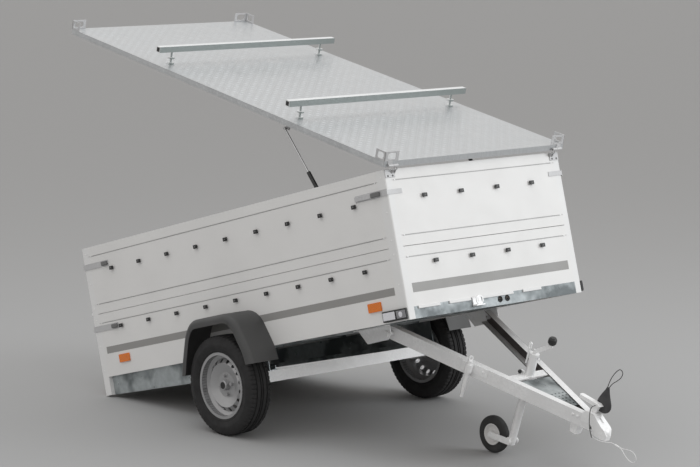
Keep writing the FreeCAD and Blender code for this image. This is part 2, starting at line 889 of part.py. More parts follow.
def side_reflectors():
    """Two reflectors on each side."""
    pieces = []
    for back in (box_length - rear_reflector_inset, front_reflector_inset):
        x = front_x - back
        for side in (-1, 1):
            inner = side * (half_width + seat_gap)
            outer = inner + side * reflector_thick
            plate = block(x - reflector_length / 2, x + reflector_length / 2, inner, outer,
                          reflector_mid - reflector_height / 2, reflector_mid + reflector_height / 2)
            pieces.append(plate.makeFillet(reflector_thick / 2, edges_along(plate, CROSSWAYS)))
    return pieces


def marker_lamp():
    """The left marker lamp, wrapped round the front corner."""
    low = marker_mid - marker_height / 2
    high = marker_mid + marker_height / 2
    outer_x = front_x + marker_thick
    outer_y = half_width + marker_thick
    shell = block(front_x - marker_side, outer_x, half_width - marker_front, outer_y, low, high)
    corner = [edge for edge in edges_along(shell, V(0, 0, 1))
              if edge.Vertexes[0].X > front_x and edge.Vertexes[0].Y > half_width]
    shell = shell.makeFillet(marker_thick, corner)
    inside = block(front_x - marker_side - cut_over, front_x + seat_gap,
                   half_width - marker_front - cut_over, half_width + seat_gap,
                   low - cut_over, high + cut_over)
    return shell.cut(inside)


def marker_lamps():
    lamp = marker_lamp()
    return [lamp, mirrored(lamp)]


def marker_lenses():
    """The lenses of both marker lamps: an oblong one and a round one, on the side."""
    pieces = []
    round_x = front_x - round_lens_back
    low = marker_mid - marker_height / 2 + lens_margin
    high = marker_mid + marker_height / 2 - lens_margin
    for side in (-1, 1):
        inner = side * (half_width + marker_thick + seat_gap)
        outer = inner + side * lens_proud
        pieces.append(block(front_x - marker_side + lens_rear_margin,
                            round_x - round_lens_radius - lens_margin / 2, inner, outer, low, high))
        pieces.append(rod(V(round_x, inner, marker_mid), V(round_x, outer, marker_mid), round_lens_radius))
    return pieces


def rear_lamps():
    """Two tail lamps on the rear beam."""
    pieces = []
    for side in (-1, 1):
        outer_y = side * (half_width - post_end_leg - lamp_inset)
        inner_y = outer_y - side * lamp_width
        middle = board_foot - rear_beam_height / 2
        lamp = block(rear_x - lamp_thick / 2, rear_x - seat_gap, inner_y, outer_y,
                     middle - lamp_height / 2, middle + lamp_height / 2)
        pieces.append(lamp.makeFillet(lamp_thick / 4, edges_along(lamp, V(1, 0, 0))))
    return pieces


def latch_strap(corner_x, inward, height, wrap):
    """A left latch strap: flat on the side, bent round the corner on to the end."""
    inner = half_width + seat_gap
    outer = inner + latch_thick
    end_x = corner_x - inward * seat_gap
    face_x = end_x - inward * latch_thick
    side = block(face_x, corner_x + inward * latch_length, inner, outer,
                 height - latch_height / 2, height + latch_height / 2)
    end = block(face_x, end_x, half_width - wrap, outer,
                height - latch_wrap_height / 2, height + latch_wrap_height / 2)
    return fused([side, end])


def latch_grip(corner_x, inward, height):
    """The grip at the end of a left latch strap."""
    inner = half_width + seat_gap + latch_thick + seat_gap
    end_x = corner_x + inward * latch_length
    grip = block(end_x - inward * lever_length, end_x, inner, inner + lever_thick,
                 height - lever_height / 2, height + lever_height / 2)
    return grip.makeFillet(lever_round, edges_along(grip, CROSSWAYS))


# Where the left latches are: the corner, the way inwards, the height and the reach round the corner
latch_places = [(rear_x, 1, latch_upper, post_end_leg - gate_side_gap),
                (rear_x, 1, latch_lower, post_end_leg - gate_side_gap),
                (front_x, -1, latch_upper, latch_wrap)]


def corner_latches():
    """The straps of the latches at the rear corners and the upper front corners."""
    straps = [latch_strap(*place) for place in latch_places]
    return straps + [mirrored(strap) for strap in straps]


def latch_grips():
    grips = [latch_grip(corner_x, inward, height) for corner_x, inward, height, wrap in latch_places]
    return grips + [mirrored(grip) for grip in grips]


def gate_panel(foot, top, hinge_from, knob_height_up, groove_heights):
    """A tailgate board with knobs and the moving hinge leaves."""
    board = end_board(rear_x, 1, gate_half, foot, top, groove_heights)
    shapes = [board]
    for index in range(end_knob_count):
        y = (index - (end_knob_count - 1) / 2) * end_knob_pitch
        shapes.append(knob(V(rear_x, y, knob_height_up), V(-1, 0, 0)))
    axis_z = foot + gate_axis_rise
    for side in (-1, 1):
        y0 = side * hinge_from
        y1 = y0 + side * gate_hinge_length / 2
        shapes.append(block(rear_x - gate_leaf_thick, rear_x, y0, y1, axis_z, foot + gate_leaf_height))
        shapes.append(block(gate_axis_x, rear_x, y0, y1, axis_z, axis_z + gate_barrel))
        shapes.append(rod(V(gate_axis_x, y0, axis_z), V(gate_axis_x, y1, axis_z), gate_barrel))
    gate = fused(shapes)
    for side in (-1, 1):
        y0 = side * hinge_from
        y1 = y0 + side * gate_hinge_length / 2
        gate = gate.cut(rod(V(gate_axis_x, y0 - side * cut_over, axis_z),
                            V(gate_axis_x, y1 + side * cut_over, axis_z), gate_pin + pin_gap))
    return gate


def gate_lower():
    return gate_panel(lower_gate_foot, board_seam - seam_gap, gate_hinge_y, knob_lower,
                      [board_seam - groove_inset])


def gate_upper():
    hinge_from = gate_half - gate_hinge_length / 2
    return gate_panel(upper_gate_foot, box_top, hinge_from, knob_upper,
                      [board_seam + groove_inset, box_top - groove_inset])


def gate_hinge(side, hinge_from, start, axis_z):
    """A fixed barrel beside the gate's own, with the pin that runs through both."""
    end = start + side * gate_hinge_length / 2
    barrel = rod(V(gate_axis_x, start, axis_z), V(gate_axis_x, end, axis_z), gate_barrel)
    pin = rod(V(gate_axis_x, side * (hinge_from + pin_gap), axis_z), V(gate_axis_x, end, axis_z), gate_pin)
    return [barrel, pin]


def gate_hinges():
    """The fixed hinge halves of both tailgates, on the rear beam and the rear posts."""
    pieces = []
    for side in (-1, 1):
        start = side * (gate_hinge_y + gate_hinge_length / 2 + seam_gap)
        end = start + side * gate_hinge_length / 2
        axis_z = lower_gate_foot + gate_axis_rise
        leaf = block(gate_axis_x, rear_x - seat_gap, start, end,
                     board_foot - gate_leaf_height / 2, board_foot - gate_leaf_height / 4)
        strap = block(gate_axis_x, gate_axis_x + gate_leaf_thick, start, end,
                      board_foot - gate_leaf_height / 2, axis_z)
        pieces.append(fused(gate_hinge(side, gate_hinge_y, start, axis_z) + [leaf, strap]))
        start = side * (gate_half + gate_side_gap)
        end = start + side * gate_hinge_length / 2
        axis_z = upper_gate_foot + gate_axis_rise
        leaf = block(gate_axis_x, rear_x - seat_gap, start, end, axis_z - gate_barrel, axis_z)
        hinge_from = gate_half - gate_hinge_length / 2
        pieces.append(fused(gate_hinge(side, hinge_from, start, axis_z) + [leaf]))
    return pieces


def lid_panel():
    """The lid: a shallow tray of tread plate, open below."""
    front = lid_overhang - lid_axis_ahead
    half = lid_width / 2
    outer = block(lid_rear_x, front, -half, half, lid_under, lid_top)
    hollow = block(lid_rear_x + lid_plate, front - lid_plate, lid_plate - half, half - lid_plate,
                   lid_under - cut_over, lid_top - lid_plate)
    return outer.cut(hollow)


def lid_corner(x, toward):
    """A left corner bracket: two upright legs in an angle, each with a slot."""
    half = lid_width / 2
    low = lid_top
    high = lid_top + corner_height
    legs = [block(x, x + toward * corner_leg, half - corner_wall, half, low, high),
            block(x, x + toward * corner_wall, half - corner_leg, half, low, high)]
    bracket = fused(legs)
    middle_x = x + toward * corner_leg / 2
    middle_y = half - corner_leg / 2
    slot_z = low + corner_height / 2
    bracket = bracket.cut(rod(V(middle_x, half - corner_wall - cut_over, slot_z),
                              V(middle_x, half + cut_over, slot_z), corner_slot))
    return bracket.cut(rod(V(x - toward * cut_over, middle_y, slot_z),
                           V(x + toward * (corner_wall + cut_over), middle_y, slot_z), corner_slot))


def lid_hinge_half():
    """The lid's half of the left hinge, and the strut's plate under the lid."""
    front = lid_overhang - lid_axis_ahead
    leaf = block(front, front + hinge_leaf_thick, hinge_y, hinge_y + hinge_leaf_width / 2, 0, lid_top)
    arm = block(0, front + hinge_leaf_thick, hinge_y, hinge_y + hinge_leaf_width / 2, 0, hinge_leaf_thick)
    barrel = rod(V(0, hinge_y, 0), V(0, hinge_y + hinge_leaf_width / 2, 0), hinge_barrel)
    hinge = fused([leaf, arm, barrel])
    return hinge.cut(rod(V(0, hinge_y - cut_over, 0), V(0, hinge_y + hinge_leaf_width / 2 + cut_over, 0),
                         hinge_pin + pin_gap))


def strut_head():
    """Where the strut's upper eye is, in the lid's closed frame."""
    open_way = V(-strut_head_back - lid_axis_ahead, 0, strut_head_rise - lid_axis_rise)
    return FreeCAD.Rotation(CROSSWAYS, -lid_open).multVec(open_way)


def strut_lid_plate():
    """The left plate that the strut's upper stud reaches, hanging below the lid."""
    head = strut_head()
    inner = strut_y - strut_eye_thick / 2 - strut_eye - strut_plate
    outline = [(head.x - strut_plate_width, lid_top - lid_plate),
               (head.x + strut_plate_width, lid_top - lid_plate),
               (head.x + strut_eye, head.z - strut_eye), (head.x - strut_eye, head.z - strut_eye)]
    return slab_y(outline, inner, inner + strut_plate)


def lid_fittings():
    """Corner brackets, hinge halves and strut plates of the lid."""
    front = lid_overhang - lid_axis_ahead
    pieces = []
    for piece in (lid_corner(front, -1), lid_corner(lid_rear_x, 1), lid_hinge_half(), strut_lid_plate()):
        pieces.append(piece)
        pieces.append(mirrored(piece))
    return pieces


def roof_bar(back):
    """One roof bar: a square tube with end caps on two threaded posts."""
    half = bar_size / 2
    x = -back
    z = lid_top + bar_rise
    reach = bar_length / 2
    outer = block(x - half, x + half, -reach, reach, z - half, z + half)
    hollow = block(x - half + bar_wall, x + half - bar_wall, bar_cap - reach, reach - bar_cap,
                   z - half + bar_wall, z + half - bar_wall)
    shapes = [outer.cut(hollow)]
    for side in (-1, 1):
        y = side * bar_post_y
        shapes.append(rod(V(x, y, lid_top), V(x, y, z - half), bar_post_radius))
        shapes.append(rod(V(x, y, lid_top), V(x, y, lid_top + bar_nut_thick), bar_nut_radius))
        nut_z = lid_top + bar_nut_rise
        shapes.append(rod(V(x, y, nut_z), V(x, y, nut_z + bar_nut_thick), bar_nut_radius))
    return fused(shapes)


def roof_bars():
    return [roof_bar(bar_front), roof_bar(bar_rear)]


def lid_hinges():
    """The fixed halves of the lid hinges on the front corners, with their pins."""
    y0 = hinge_y - hinge_leaf_width / 2 - pin_gap
    y1 = hinge_y - pin_gap
    barrel = rod(V(lid_axis_x, y0, lid_axis_z), V(lid_axis_x, y1, lid_axis_z), hinge_barrel)
    pin = rod(V(lid_axis_x, y0, lid_axis_z), V(lid_axis_x, hinge_y + hinge_leaf_width / 2, lid_axis_z),
              hinge_pin)
    leaf = block(front_x + seat_gap, front_x + hinge_leaf_thick, y0, y1,
                 box_top - hinge_leaf_drop, box_top)
    arm = slab_y([(front_x + seat_gap, box_top - hinge_leaf_drop / 2),
                  (lid_axis_x + hinge_barrel, lid_axis_z), (lid_axis_x, lid_axis_z),
                  (lid_axis_x - hinge_barrel, box_top - hinge_leaf_thick),
                  (front_x + seat_gap, box_top - hinge_leaf_thick)], y0, y1)
    piece = fused([barrel, pin, leaf, arm])
    return [piece, mirrored(piece)]


strut_foot = V(front_x - strut_foot_back, 0, box_top - strut_foot_drop)
strut_top = V(front_x - strut_head_back, 0, box_top + strut_head_rise)
strut_way = (strut_top - strut_foot).normalize()


def strut_mounts():
    """The studs on the side boards that carry the struts' lower eyes."""
    pieces = []
    for side in (-1, 1):
        wall = side * (inner_half - seat_gap)
        plate = block(strut_foot.x - strut_plate_width / 2, strut_foot.x + strut_plate_width / 2,
                      wall, wall - side * strut_plate,
                      strut_foot.z - strut_base_height / 2, strut_foot.z + strut_base_height / 2)
        tip = side * (strut_y - strut_eye_thick / 2)
        stud = rod(V(strut_foot.x, wall, strut_foot.z), V(strut_foot.x, tip, strut_foot.z), strut_stud)
        pieces.append(fused([plate, stud]))
    return pieces


def strut_cylinder_piece(side):
    """A strut's cylinder with its lower eye, opened for the stud."""
    y = side * strut_y
    foot = V(strut_foot.x, y, strut_foot.z)
    half = strut_eye_thick / 2
    eye = rod(foot - V(0, half, 0), foot + V(0, half, 0), strut_eye)
    neck = rod(foot + strut_way * (strut_eye / 2), foot + strut_way * (strut_eye * 2), strut_rod)
    barrel = rod(foot + strut_way * (strut_eye * 2), foot + strut_way * strut_cylinder_length,
                 strut_cylinder)
    body = fused([eye, neck, barrel])
    hole = rod(foot - V(0, half + cut_over, 0), foot + V(0, half + cut_over, 0), strut_stud + pin_gap)
    depth = strut_cylinder_length - strut_eye * 2 - strut_cylinder
    top = foot + strut_way * (strut_cylinder_length + cut_over)
    bore = rod(top, top - strut_way * depth, strut_rod + pin_gap)
    return body.cut([hole, bore])


def strut_rod_piece(side):
    """A strut's rod with its upper eye and a stud that reaches towards the lid's plate."""
    y = side * strut_y
    head = V(strut_top.x, y, strut_top.z)
    half = strut_eye_thick / 2
    eye = rod(head - V(0, half, 0), head + V(0, half, 0), strut_eye)
    bar = rod(head - strut_way * (strut_eye / 2), head - strut_way * strut_rod_length, strut_rod)
    plate_y = side * (strut_y - half - strut_eye + seat_gap)
    stud = rod(head, V(head.x, plate_y, head.z), strut_stud)
    return fused([eye, bar, stud])


def beam_outer(ahead):
    """How far a beam's outer face is from the middle plane, at a place along the drawbar."""
    return beam_half - beam_slope * ahead


def beam():
    """The left drawbar beam: a channel that opens inwards, cut at the middle plane."""
    length = (beam_reach + beam_tail) / math.cos(beam_slant)
    half = beam_height / 2
    section = [(0, half), (-beam_flange, half), (-beam_flange, half - beam_wall),
               (-beam_wall, half - beam_wall), (-beam_wall, beam_wall - half),
               (-beam_flange, beam_wall - half), (-beam_flange, -half), (0, -half)]
    channel = slab_x(section, 0, length)
    channel.Placement = FreeCAD.Placement(
        V(-beam_tail, beam_half + beam_tail * beam_slope, 0),
        FreeCAD.Rotation(V(0, 0, 1), -math.degrees(beam_slant)))
    keep = block(-beam_tail, beam_reach, beam_split, beam_half * 2, -beam_height, beam_height)
    hole = rod(V(0, beam_half - beam_flange - tilt_pin, 0),
               V(0, beam_half + beam_flange, 0), tilt_pin + pin_gap)
    return channel.common(keep).cut(hole)


def drawbar_plate():
    """The plate between the beams, with rows of square holes near its front."""
    top = beam_height / 2 - beam_wall - seat_gap
    rear_half = beam_outer(plate_rear) - beam_wall * 2
    front_half = beam_outer(plate_front) - beam_wall * 2
    outline = [(plate_rear, rear_half), (plate_front, front_half),
               (plate_front, -front_half), (plate_rear, -rear_half)]
    plate = slab_z(outline, top - plate_thick, top)
    cuts = []
    for column in range(plate_hole_columns):
        x = plate_front - (column + 1) * plate_hole_pitch
        for row in range(plate_hole_rows):
            y = (row - (plate_hole_rows - 1) / 2) * plate_hole_pitch
            cuts.append(block(x - plate_hole / 2, x + plate_hole / 2, y - plate_hole / 2, y + plate_hole / 2,
                              top - plate_thick - cut_over, top + cut_over))
    return plate.cut(cuts)


def bell(radius, depth):
    """Half a ball with a round skirt below it, for the socket and its shell."""
    across = radius / math.sqrt(2)
    arc = Part.Arc(V(0, 0, radius), V(across, 0, across), V(radius, 0, 0))
    corners = [V(radius, 0, 0), V(radius, 0, -depth), V(0, 0, -depth), V(0, 0, radius)]
    lines = [Part.LineSegment(a, b) for a, b in zip(corners, corners[1:])]
    outline = Part.Wire([piece.toShape() for piece in [arc] + lines])
    solid = Part.Face(outline).revolve(V(0, 0, 0), V(0, 0, 1), 360)
    return moved(solid, ball_ahead, 0, ball_rise)


def coupling_housing():
    """The pressed housing of the coupling, as a side outline within a plan outline."""
    low = coupling_rise - coupling_wall - coupling_skirt
    nose_low = ball_rise - ball_radius
    tip = ball_ahead + socket_reach
    side = slab_y([(coupling_rear, low), (coupling_rear, coupling_rise),
                   (coupling_rear + hump_rear, hump_rise), (coupling_rear + hump_front, hump_rise),
                   (ball_ahead - brow_back, brow_rise), (ball_ahead + nose_brow, nose_brow_rise),
                   (tip, ball_rise), (tip, nose_low), (ball_ahead - socket_reach, nose_low),
                   (beam_reach + coupling_wall, low)], -beam_half, beam_half)
    rear_half = beam_outer(coupling_rear) + seat_gap + coupling_wall
    front_half = beam_outer(beam_reach) + seat_gap + coupling_wall
    left = [(coupling_rear, rear_half), (beam_reach, front_half), (ball_ahead, socket_reach),
            (ball_ahead + nose_brow, coupling_half), (tip, nose_brow)]
    plan = slab_z(left + [(x, -y) for x, y in reversed(left)], -beam_height * 2, beam_height * 2)
    return side.common(plan)


def coupling_foot():
    """The tapered channel under the beams' ends, open to the rear."""
    rear = beam_reach - foot_back
    front = rear + foot_length
    top = -beam_height / 2 - seat_gap
    low = top - foot_drop
    outer = slab_y([(rear, top), (front, top), (front - foot_taper, low), (rear + foot_taper, low)],
                   -foot_half, foot_half)
    inner = slab_y([(rear - cut_over, top - foot_wall), (front - foot_wall, top - foot_wall),
                    (front - foot_taper - foot_wall, low - cut_over), (rear - cut_over, low - cut_over)],
                   foot_wall - foot_half, foot_half - foot_wall)
    return outer.cut(inner)


def coupling():
    """The coupling head: a housing over the beams' ends with the ball socket, and its foot."""
    low = coupling_rise - coupling_wall - coupling_skirt
    before = coupling_rear - cut_over
    after = beam_reach + seat_gap
    room = [(before, beam_outer(before) + seat_gap), (after, beam_outer(after) + seat_gap),
            (after, -beam_outer(after) - seat_gap), (before, -beam_outer(before) - seat_gap)]
    inside = slab_z(room, low - cut_over, beam_height / 2 + seat_gap)
    slot_x = ball_ahead - coupling_slot_back
    slot_z = brow_rise - coupling_slot_depth / 2
    slot = block(slot_x - coupling_slot_length / 2, slot_x + coupling_slot_length / 2,
                 -coupling_slot_width / 2, coupling_slot_width / 2, slot_z, hump_rise)
    lug = block(beam_reach + coupling_wall, ball_ahead - socket_reach - breakaway_lug,
                -breakaway_lug / 2, breakaway_lug / 2, breakaway_rise - breakaway_lug, low)
    socket = ball_radius + socket_gap
    head = fused([coupling_housing(), bell(socket + socket_wall, ball_radius), lug])
    head = head.cut([inside, slot, bell(socket, ball_radius + cut_over)])
    return [head, coupling_foot()]


def coupling_handle():
    """The handle that locks the coupling, with its leaning arm."""
    half = handle_width / 2
    low = handle_rise - handle_thick
    grip = slab_y([(handle_rear, low), (handle_rear, handle_rise),
                   (handle_front - handle_thick, handle_rise + handle_thick / 4),
                   (handle_front, handle_rise - handle_thick / 4), (handle_front - handle_thick, low)],
                  -half, half)
    rear_edges = [edge for edge in edges_along(grip, V(0, 0, 1))
                  if edge.Vertexes[0].X < handle_rear + seat_gap]
    grip = grip.makeFillet(handle_round, rear_edges)
    foot = beam_reach - handle_arm_back
    top = foot + handle_arm_lean
    arm = slab_y([(foot - handle_arm, hump_rise + seat_gap), (foot + handle_arm, hump_rise + seat_gap),
                  (top + handle_arm, low), (top - handle_arm, low)], -half / 2, half / 2)
    return fused([grip, arm])


def leg_clamp(ahead, y, tube_radius, height):
    """A split ring round a leg tube, with two bolt ears behind it."""
    radius = tube_radius + clamp_gap + clamp_wall
    top = beam_height / 2 + seat_gap
    low = V(ahead, y, top - height)
    shapes = [rod(low, V(ahead, y, top), radius),
              block(ahead - radius - clamp_ear, ahead, y - clamp_wall, y + clamp_wall, top - height, top)]
    clamp = fused(shapes)
    bore = rod(low - V(0, 0, cut_over), V(ahead, y, top + cut_over), tube_radius + clamp_gap)
    slit = block(ahead - radius - clamp_ear - cut_over, ahead, y - clamp_gap, y + clamp_gap,
                 top - height - cut_over, top + cut_over)
    return clamp.cut([bore, slit])


def clamp_screw():
    """The jockey clamp's screw with its lever and ball."""
    x = jockey_ahead - jockey_tube_radius - clamp_gap - clamp_wall - clamp_ear / 2
    z = beam_height / 2 - clamp_height / 2
    end = V(x, -clamp_screw_reach, z)
    ball = end + V(clamp_lever_lean, 0, clamp_lever_lift)
    return [rod(V(x, clamp_wall + clamp_screw_radius, z), end, clamp_screw_radius),
            rod(end + V(0, clamp_screw_radius, 0), ball + V(0, clamp_screw_radius, 0),
                clamp_screw_radius / 2),
            Part.makeSphere(clamp_knob_radius, ball + V(0, clamp_screw_radius, 0))]


prop_y = (-beam_outer(prop_ahead) - seat_gap
          - (prop_radius + clamp_gap + clamp_wall) / math.cos(beam_slant))


def prop_bracket():
    """The plate on the right beam that carries the prop leg's clamp, with its bolt."""
    top = beam_height / 2 + seat_gap
    front = prop_ahead + prop_plate_length

    def face(x, out):
        return -beam_outer(x) - seat_gap - out

    outline = [(prop_ahead, face(prop_ahead, 0)), (front, face(front, 0)),
               (front, face(front, prop_plate_thick)), (prop_ahead, face(prop_ahead, prop_plate_thick))]
    plate = slab_z(outline, top - prop_plate_height, top)
    bolt_x = prop_ahead + prop_bolt_ahead
    bolt_z = top - prop_plate_height / 2
    bolt = rod(V(bolt_x, face(bolt_x, prop_plate_thick / 2), bolt_z),
               V(bolt_x, face(bolt_x, prop_plate_thick + prop_bolt_radius), bolt_z), prop_bolt_radius)
    return [plate, bolt]


def leg_clamps():
    """The jockey wheel's clamp between the beams, and the prop leg's clamp on the right beam."""
    jockey = leg_clamp(jockey_ahead, 0, jockey_tube_radius, clamp_height)
    bridge = beam_outer(jockey_ahead + clamp_ear) - beam_wall * 2
    top = beam_height / 2 - beam_wall - seat_gap
    bar = block(jockey_ahead - clamp_ear, jockey_ahead + clamp_ear, -bridge, bridge,
                top - clamp_wall, top)
    bore = rod(V(jockey_ahead, 0, -beam_height), V(jockey_ahead, 0, beam_height),
               jockey_tube_radius + clamp_gap)
    prop = leg_clamp(prop_ahead, prop_y, prop_radius, prop_clamp_height)
    prop_bore = rod(V(prop_ahead, prop_y, -beam_height), V(prop_ahead, prop_y, beam_height),
                    prop_radius + clamp_gap)
    return [fused([jockey, bar] + clamp_screw()).cut(bore), fused([prop] + prop_bracket()).cut(prop_bore)]


def oval_ring(middle, height, width, wire):
    """An oval ring that stands up along the drawbar."""
    def oval(inset):
        radius = width / 2 - inset
        rise = V(0, 0, height / 2 - width / 2)
        half = V(0, wire / 2, 0)
        low = middle - rise
        high = middle + rise
        return fused([rod(low - half, low + half, radius), rod(high - half, high + half, radius),
                      block(middle.x - radius, middle.x + radius, middle.y - wire / 2, middle.y + wire / 2,
                            low.z, high.z)])
    return oval(0).cut(oval(wire))


def pull_pin():
    """The locking pin beside the jockey tube, with its lug and its oval ring."""
    x = jockey_ahead - pull_pin_back
    y = -pull_pin_side
    lug_foot = (pull_pin_foot + pull_pin_top - pull_lug_height) / 2
    lug = block(x - pull_pin_radius, x + pull_pin_radius, y, -pull_pin_back,
                lug_foot, lug_foot + pull_lug_height)
    pin = rod(V(x, y, pull_pin_foot), V(x, y, pull_pin_top), pull_pin_radius)
    middle = V(x, y, pull_pin_top + pull_ring_height / 2 - pull_ring_wire / 2)
    return [lug, pin, oval_ring(middle, pull_ring_height, pull_ring_width, pull_ring_wire)]


def jockey_tube():
    """The jockey wheel's outer tube with its cap and locking pin."""
    top = V(jockey_ahead, 0, jockey_tube_top)
    foot = V(jockey_ahead, 0, jockey_tube_foot)
    outer = rod(foot, top, jockey_tube_radius)
    cap = rod(top, top + V(0, 0, jockey_cap_height), jockey_cap_radius)
    bore = rod(foot - V(0, 0, cut_over), top, jockey_tube_radius - jockey_tube_wall)
    return fused([outer, cap] + pull_pin()).cut(bore)


crank_height = jockey_tube_top + jockey_cap_height


def jockey_crank():
    """The crank on top of the tube: a flat bar that leans out, with the knob's spindle."""
    foot = V(jockey_ahead, 0, crank_height + seat_gap)
    half = crank_width / 2
    x0 = jockey_ahead - half
    x1 = jockey_ahead + crank_start
    x2 = x1 + crank_reach
    z0 = foot.z
    bar = slab_y([(x0, z0), (x1, z0), (x2, z0 + crank_lift), (x2 + half, z0 + crank_lift),
                  (x2 + half, z0 + crank_lift + crank_plate), (x2 - half / 4, z0 + crank_lift + crank_plate),
                  (x1 - half / 4, z0 + crank_plate), (x0, z0 + crank_plate)], -half, half)
    spindle_top = crank_knob_foot() + crank_knob_length - crank_spindle
    spindle = rod(V(x2, 0, z0 + crank_lift), V(x2, 0, spindle_top), crank_spindle)
    nut = rod(foot, foot + V(0, 0, crank_plate * 2), crank_foot)
    return fused([bar, spindle, nut])


def crank_knob_foot():
    return crank_height + seat_gap + crank_lift + crank_plate + crank_knob_gap


def crank_knob():
    """The crank's knob, which turns on the spindle."""
    low = crank_knob_foot()
    high = low + crank_knob_length
    step = crank_knob_length / 4
    points = [(0, low), (crank_knob_waist, low), (crank_knob_radius, low + step),
              (crank_knob_radius, high - step), (crank_knob_waist, high), (0, high)]
    x = jockey_ahead + crank_start + crank_reach
    shape = face_of([V(radius, 0, z) for radius, z in points]).revolve(V(0, 0, 0), V(0, 0, 1), 360)
    hole = rod(V(0, 0, low - cut_over), V(0, 0, high - crank_spindle + seat_gap), crank_spindle + pin_gap)
    return moved(shape.cut(hole), x, 0, 0)


fork_shoulder = hub_rise + fork_top


def jockey_inner():
    """The inner tube that the spindle drives up and down, bored for the fork's pivot."""
    low = V(jockey_ahead, 0, fork_shoulder + seat_gap)
    tube = rod(low, V(jockey_ahead, 0, jockey_inner_top), jockey_inner_radius)
    bore = rod(low - V(0, 0, cut_over), low + V(0, 0, fork_spigot_length), fork_spigot_radius + pin_gap)
    return tube.cut(bore)


def jockey_fork():
    """The swivelling fork: a round foot, a bridge and two flat arms back to the wheel bolt."""
    foot = V(jockey_ahead, 0, hub_rise - fork_foot)
    stub = rod(foot, V(jockey_ahead, 0, fork_shoulder), jockey_inner_radius)
    rims = [edge for edge in stub.Edges if edge.BoundBox.ZMax < hub_rise]
    stub = stub.makeFillet(fork_foot_round, rims)
    pivot = rod(V(jockey_ahead, 0, fork_shoulder - fork_gap),
                V(jockey_ahead, 0, fork_shoulder + fork_spigot_length), fork_spigot_radius)
    inner = jockey_tyre_width / 2 + fork_gap
    outer = inner + fork_plate
    half = fork_arm / 2
    shapes = [stub, pivot, block(jockey_ahead - half, jockey_ahead + half, -outer, outer,
                                 hub_rise - half, hub_rise + half)]
    for side in (-1, 1):
        near = side * inner
        far = side * outer
        shapes.append(block(hub_ahead, jockey_ahead, near, far, hub_rise - half, hub_rise + half))
        shapes.append(rod(V(hub_ahead, near, hub_rise), V(hub_ahead, far, hub_rise), half))
    head = outer + fork_bolt_head
    shapes.append(rod(V(hub_ahead, -head, hub_rise), V(hub_ahead, head, hub_rise), jockey_bolt))
    return fused(shapes)


def jockey_tyre():
    """The jockey wheel's solid tyre."""
    half = jockey_tyre_width / 2
    inner = jockey_radius - jockey_tyre_depth
    ring = turned([(inner, -half), (jockey_radius, -half), (jockey_radius, half), (inner, half)])
    return moved(ring, hub_ahead, 0, hub_rise)


def jockey_rim():
    """The jockey wheel's rim: a rim band, a web and a hub tube."""
    half = jockey_tyre_width / 2
    outer = jockey_radius - jockey_tyre_depth
    band = outer - rim_wall * 2
    bore = jockey_bolt + pin_gap
    ring = turned([(bore, -half), (jockey_hub, -half), (jockey_hub, -rim_wall), (band, -rim_wall),
                   (band, -half), (outer, -half), (outer, half), (band, half), (band, rim_wall),
                   (jockey_hub, rim_wall), (jockey_hub, half), (bore, half)])
    return moved(ring, hub_ahead, 0, hub_rise)


def prop_leg():
    """The prop leg: a tube that tapers to its foot, with a pull ring."""
    top = V(prop_ahead, prop_y, prop_top)
    neck = V(prop_ahead, prop_y, prop_taper_top)
    tube = rod(neck, top, prop_radius)
    taper = Part.makeCone(prop_tip_radius, prop_radius, prop_taper_top - prop_foot,
                          V(prop_ahead, prop_y, prop_foot))
    middle = top + V(0, 0, prop_ring)
    half = V(prop_ring_wire, 0, 0)
    ring = pipe(middle - half, middle + half, prop_ring + prop_ring_wire, prop_ring - prop_ring_wire)
    return fused([tube, taper, ring])


def breakaway_cable():
    """The steel safety cable: from its lug to a ferrule and round in a loop."""
    ferrule_rear = breakaway_points[-1]
    ferrule = rod(ferrule_rear, ferrule_rear + V(ferrule_length, 0, 0), ferrule_radius)
    return fused([route(breakaway_points, breakaway_radius), ferrule, route(loop_points, breakaway_radius)])


def lock_cord():
    """The cord that hangs from the handle's end down the coupling's side."""
    return route(lock_points, cord_radius)


def plug_pouch():
    """The soft pouch with the plug in it, beside the handle, and the loop of its string."""
    rings = []
    for rear, front, half, height in pouch_sections:
        corners = [V(rear, pouch_y - half, height), V(front, pouch_y - half, height),
                   V(front, pouch_y + half, height), V(rear, pouch_y + half, height)]
        rings.append(Part.makePolygon(corners + [corners[0]]))
    pouch = Part.makeLoft(rings, True, True)
    return fused([pouch, route(pouch_loop, cord_radius)])


def export(node, shapes, place):
    """Place one node's solids and write them."""
    solids = shapes if isinstance(shapes, list) else [shapes]
    placed = []
    for solid in solids:
        copy = solid.copy()
        copy.Placement = place.multiply(copy.Placement)
        placed.append(copy)
    whole = placed[0] if len(placed) == 1 else Part.makeCompound(placed)
    whole.exportStep(os.path.join("parts", node + ".step"))
    return whole


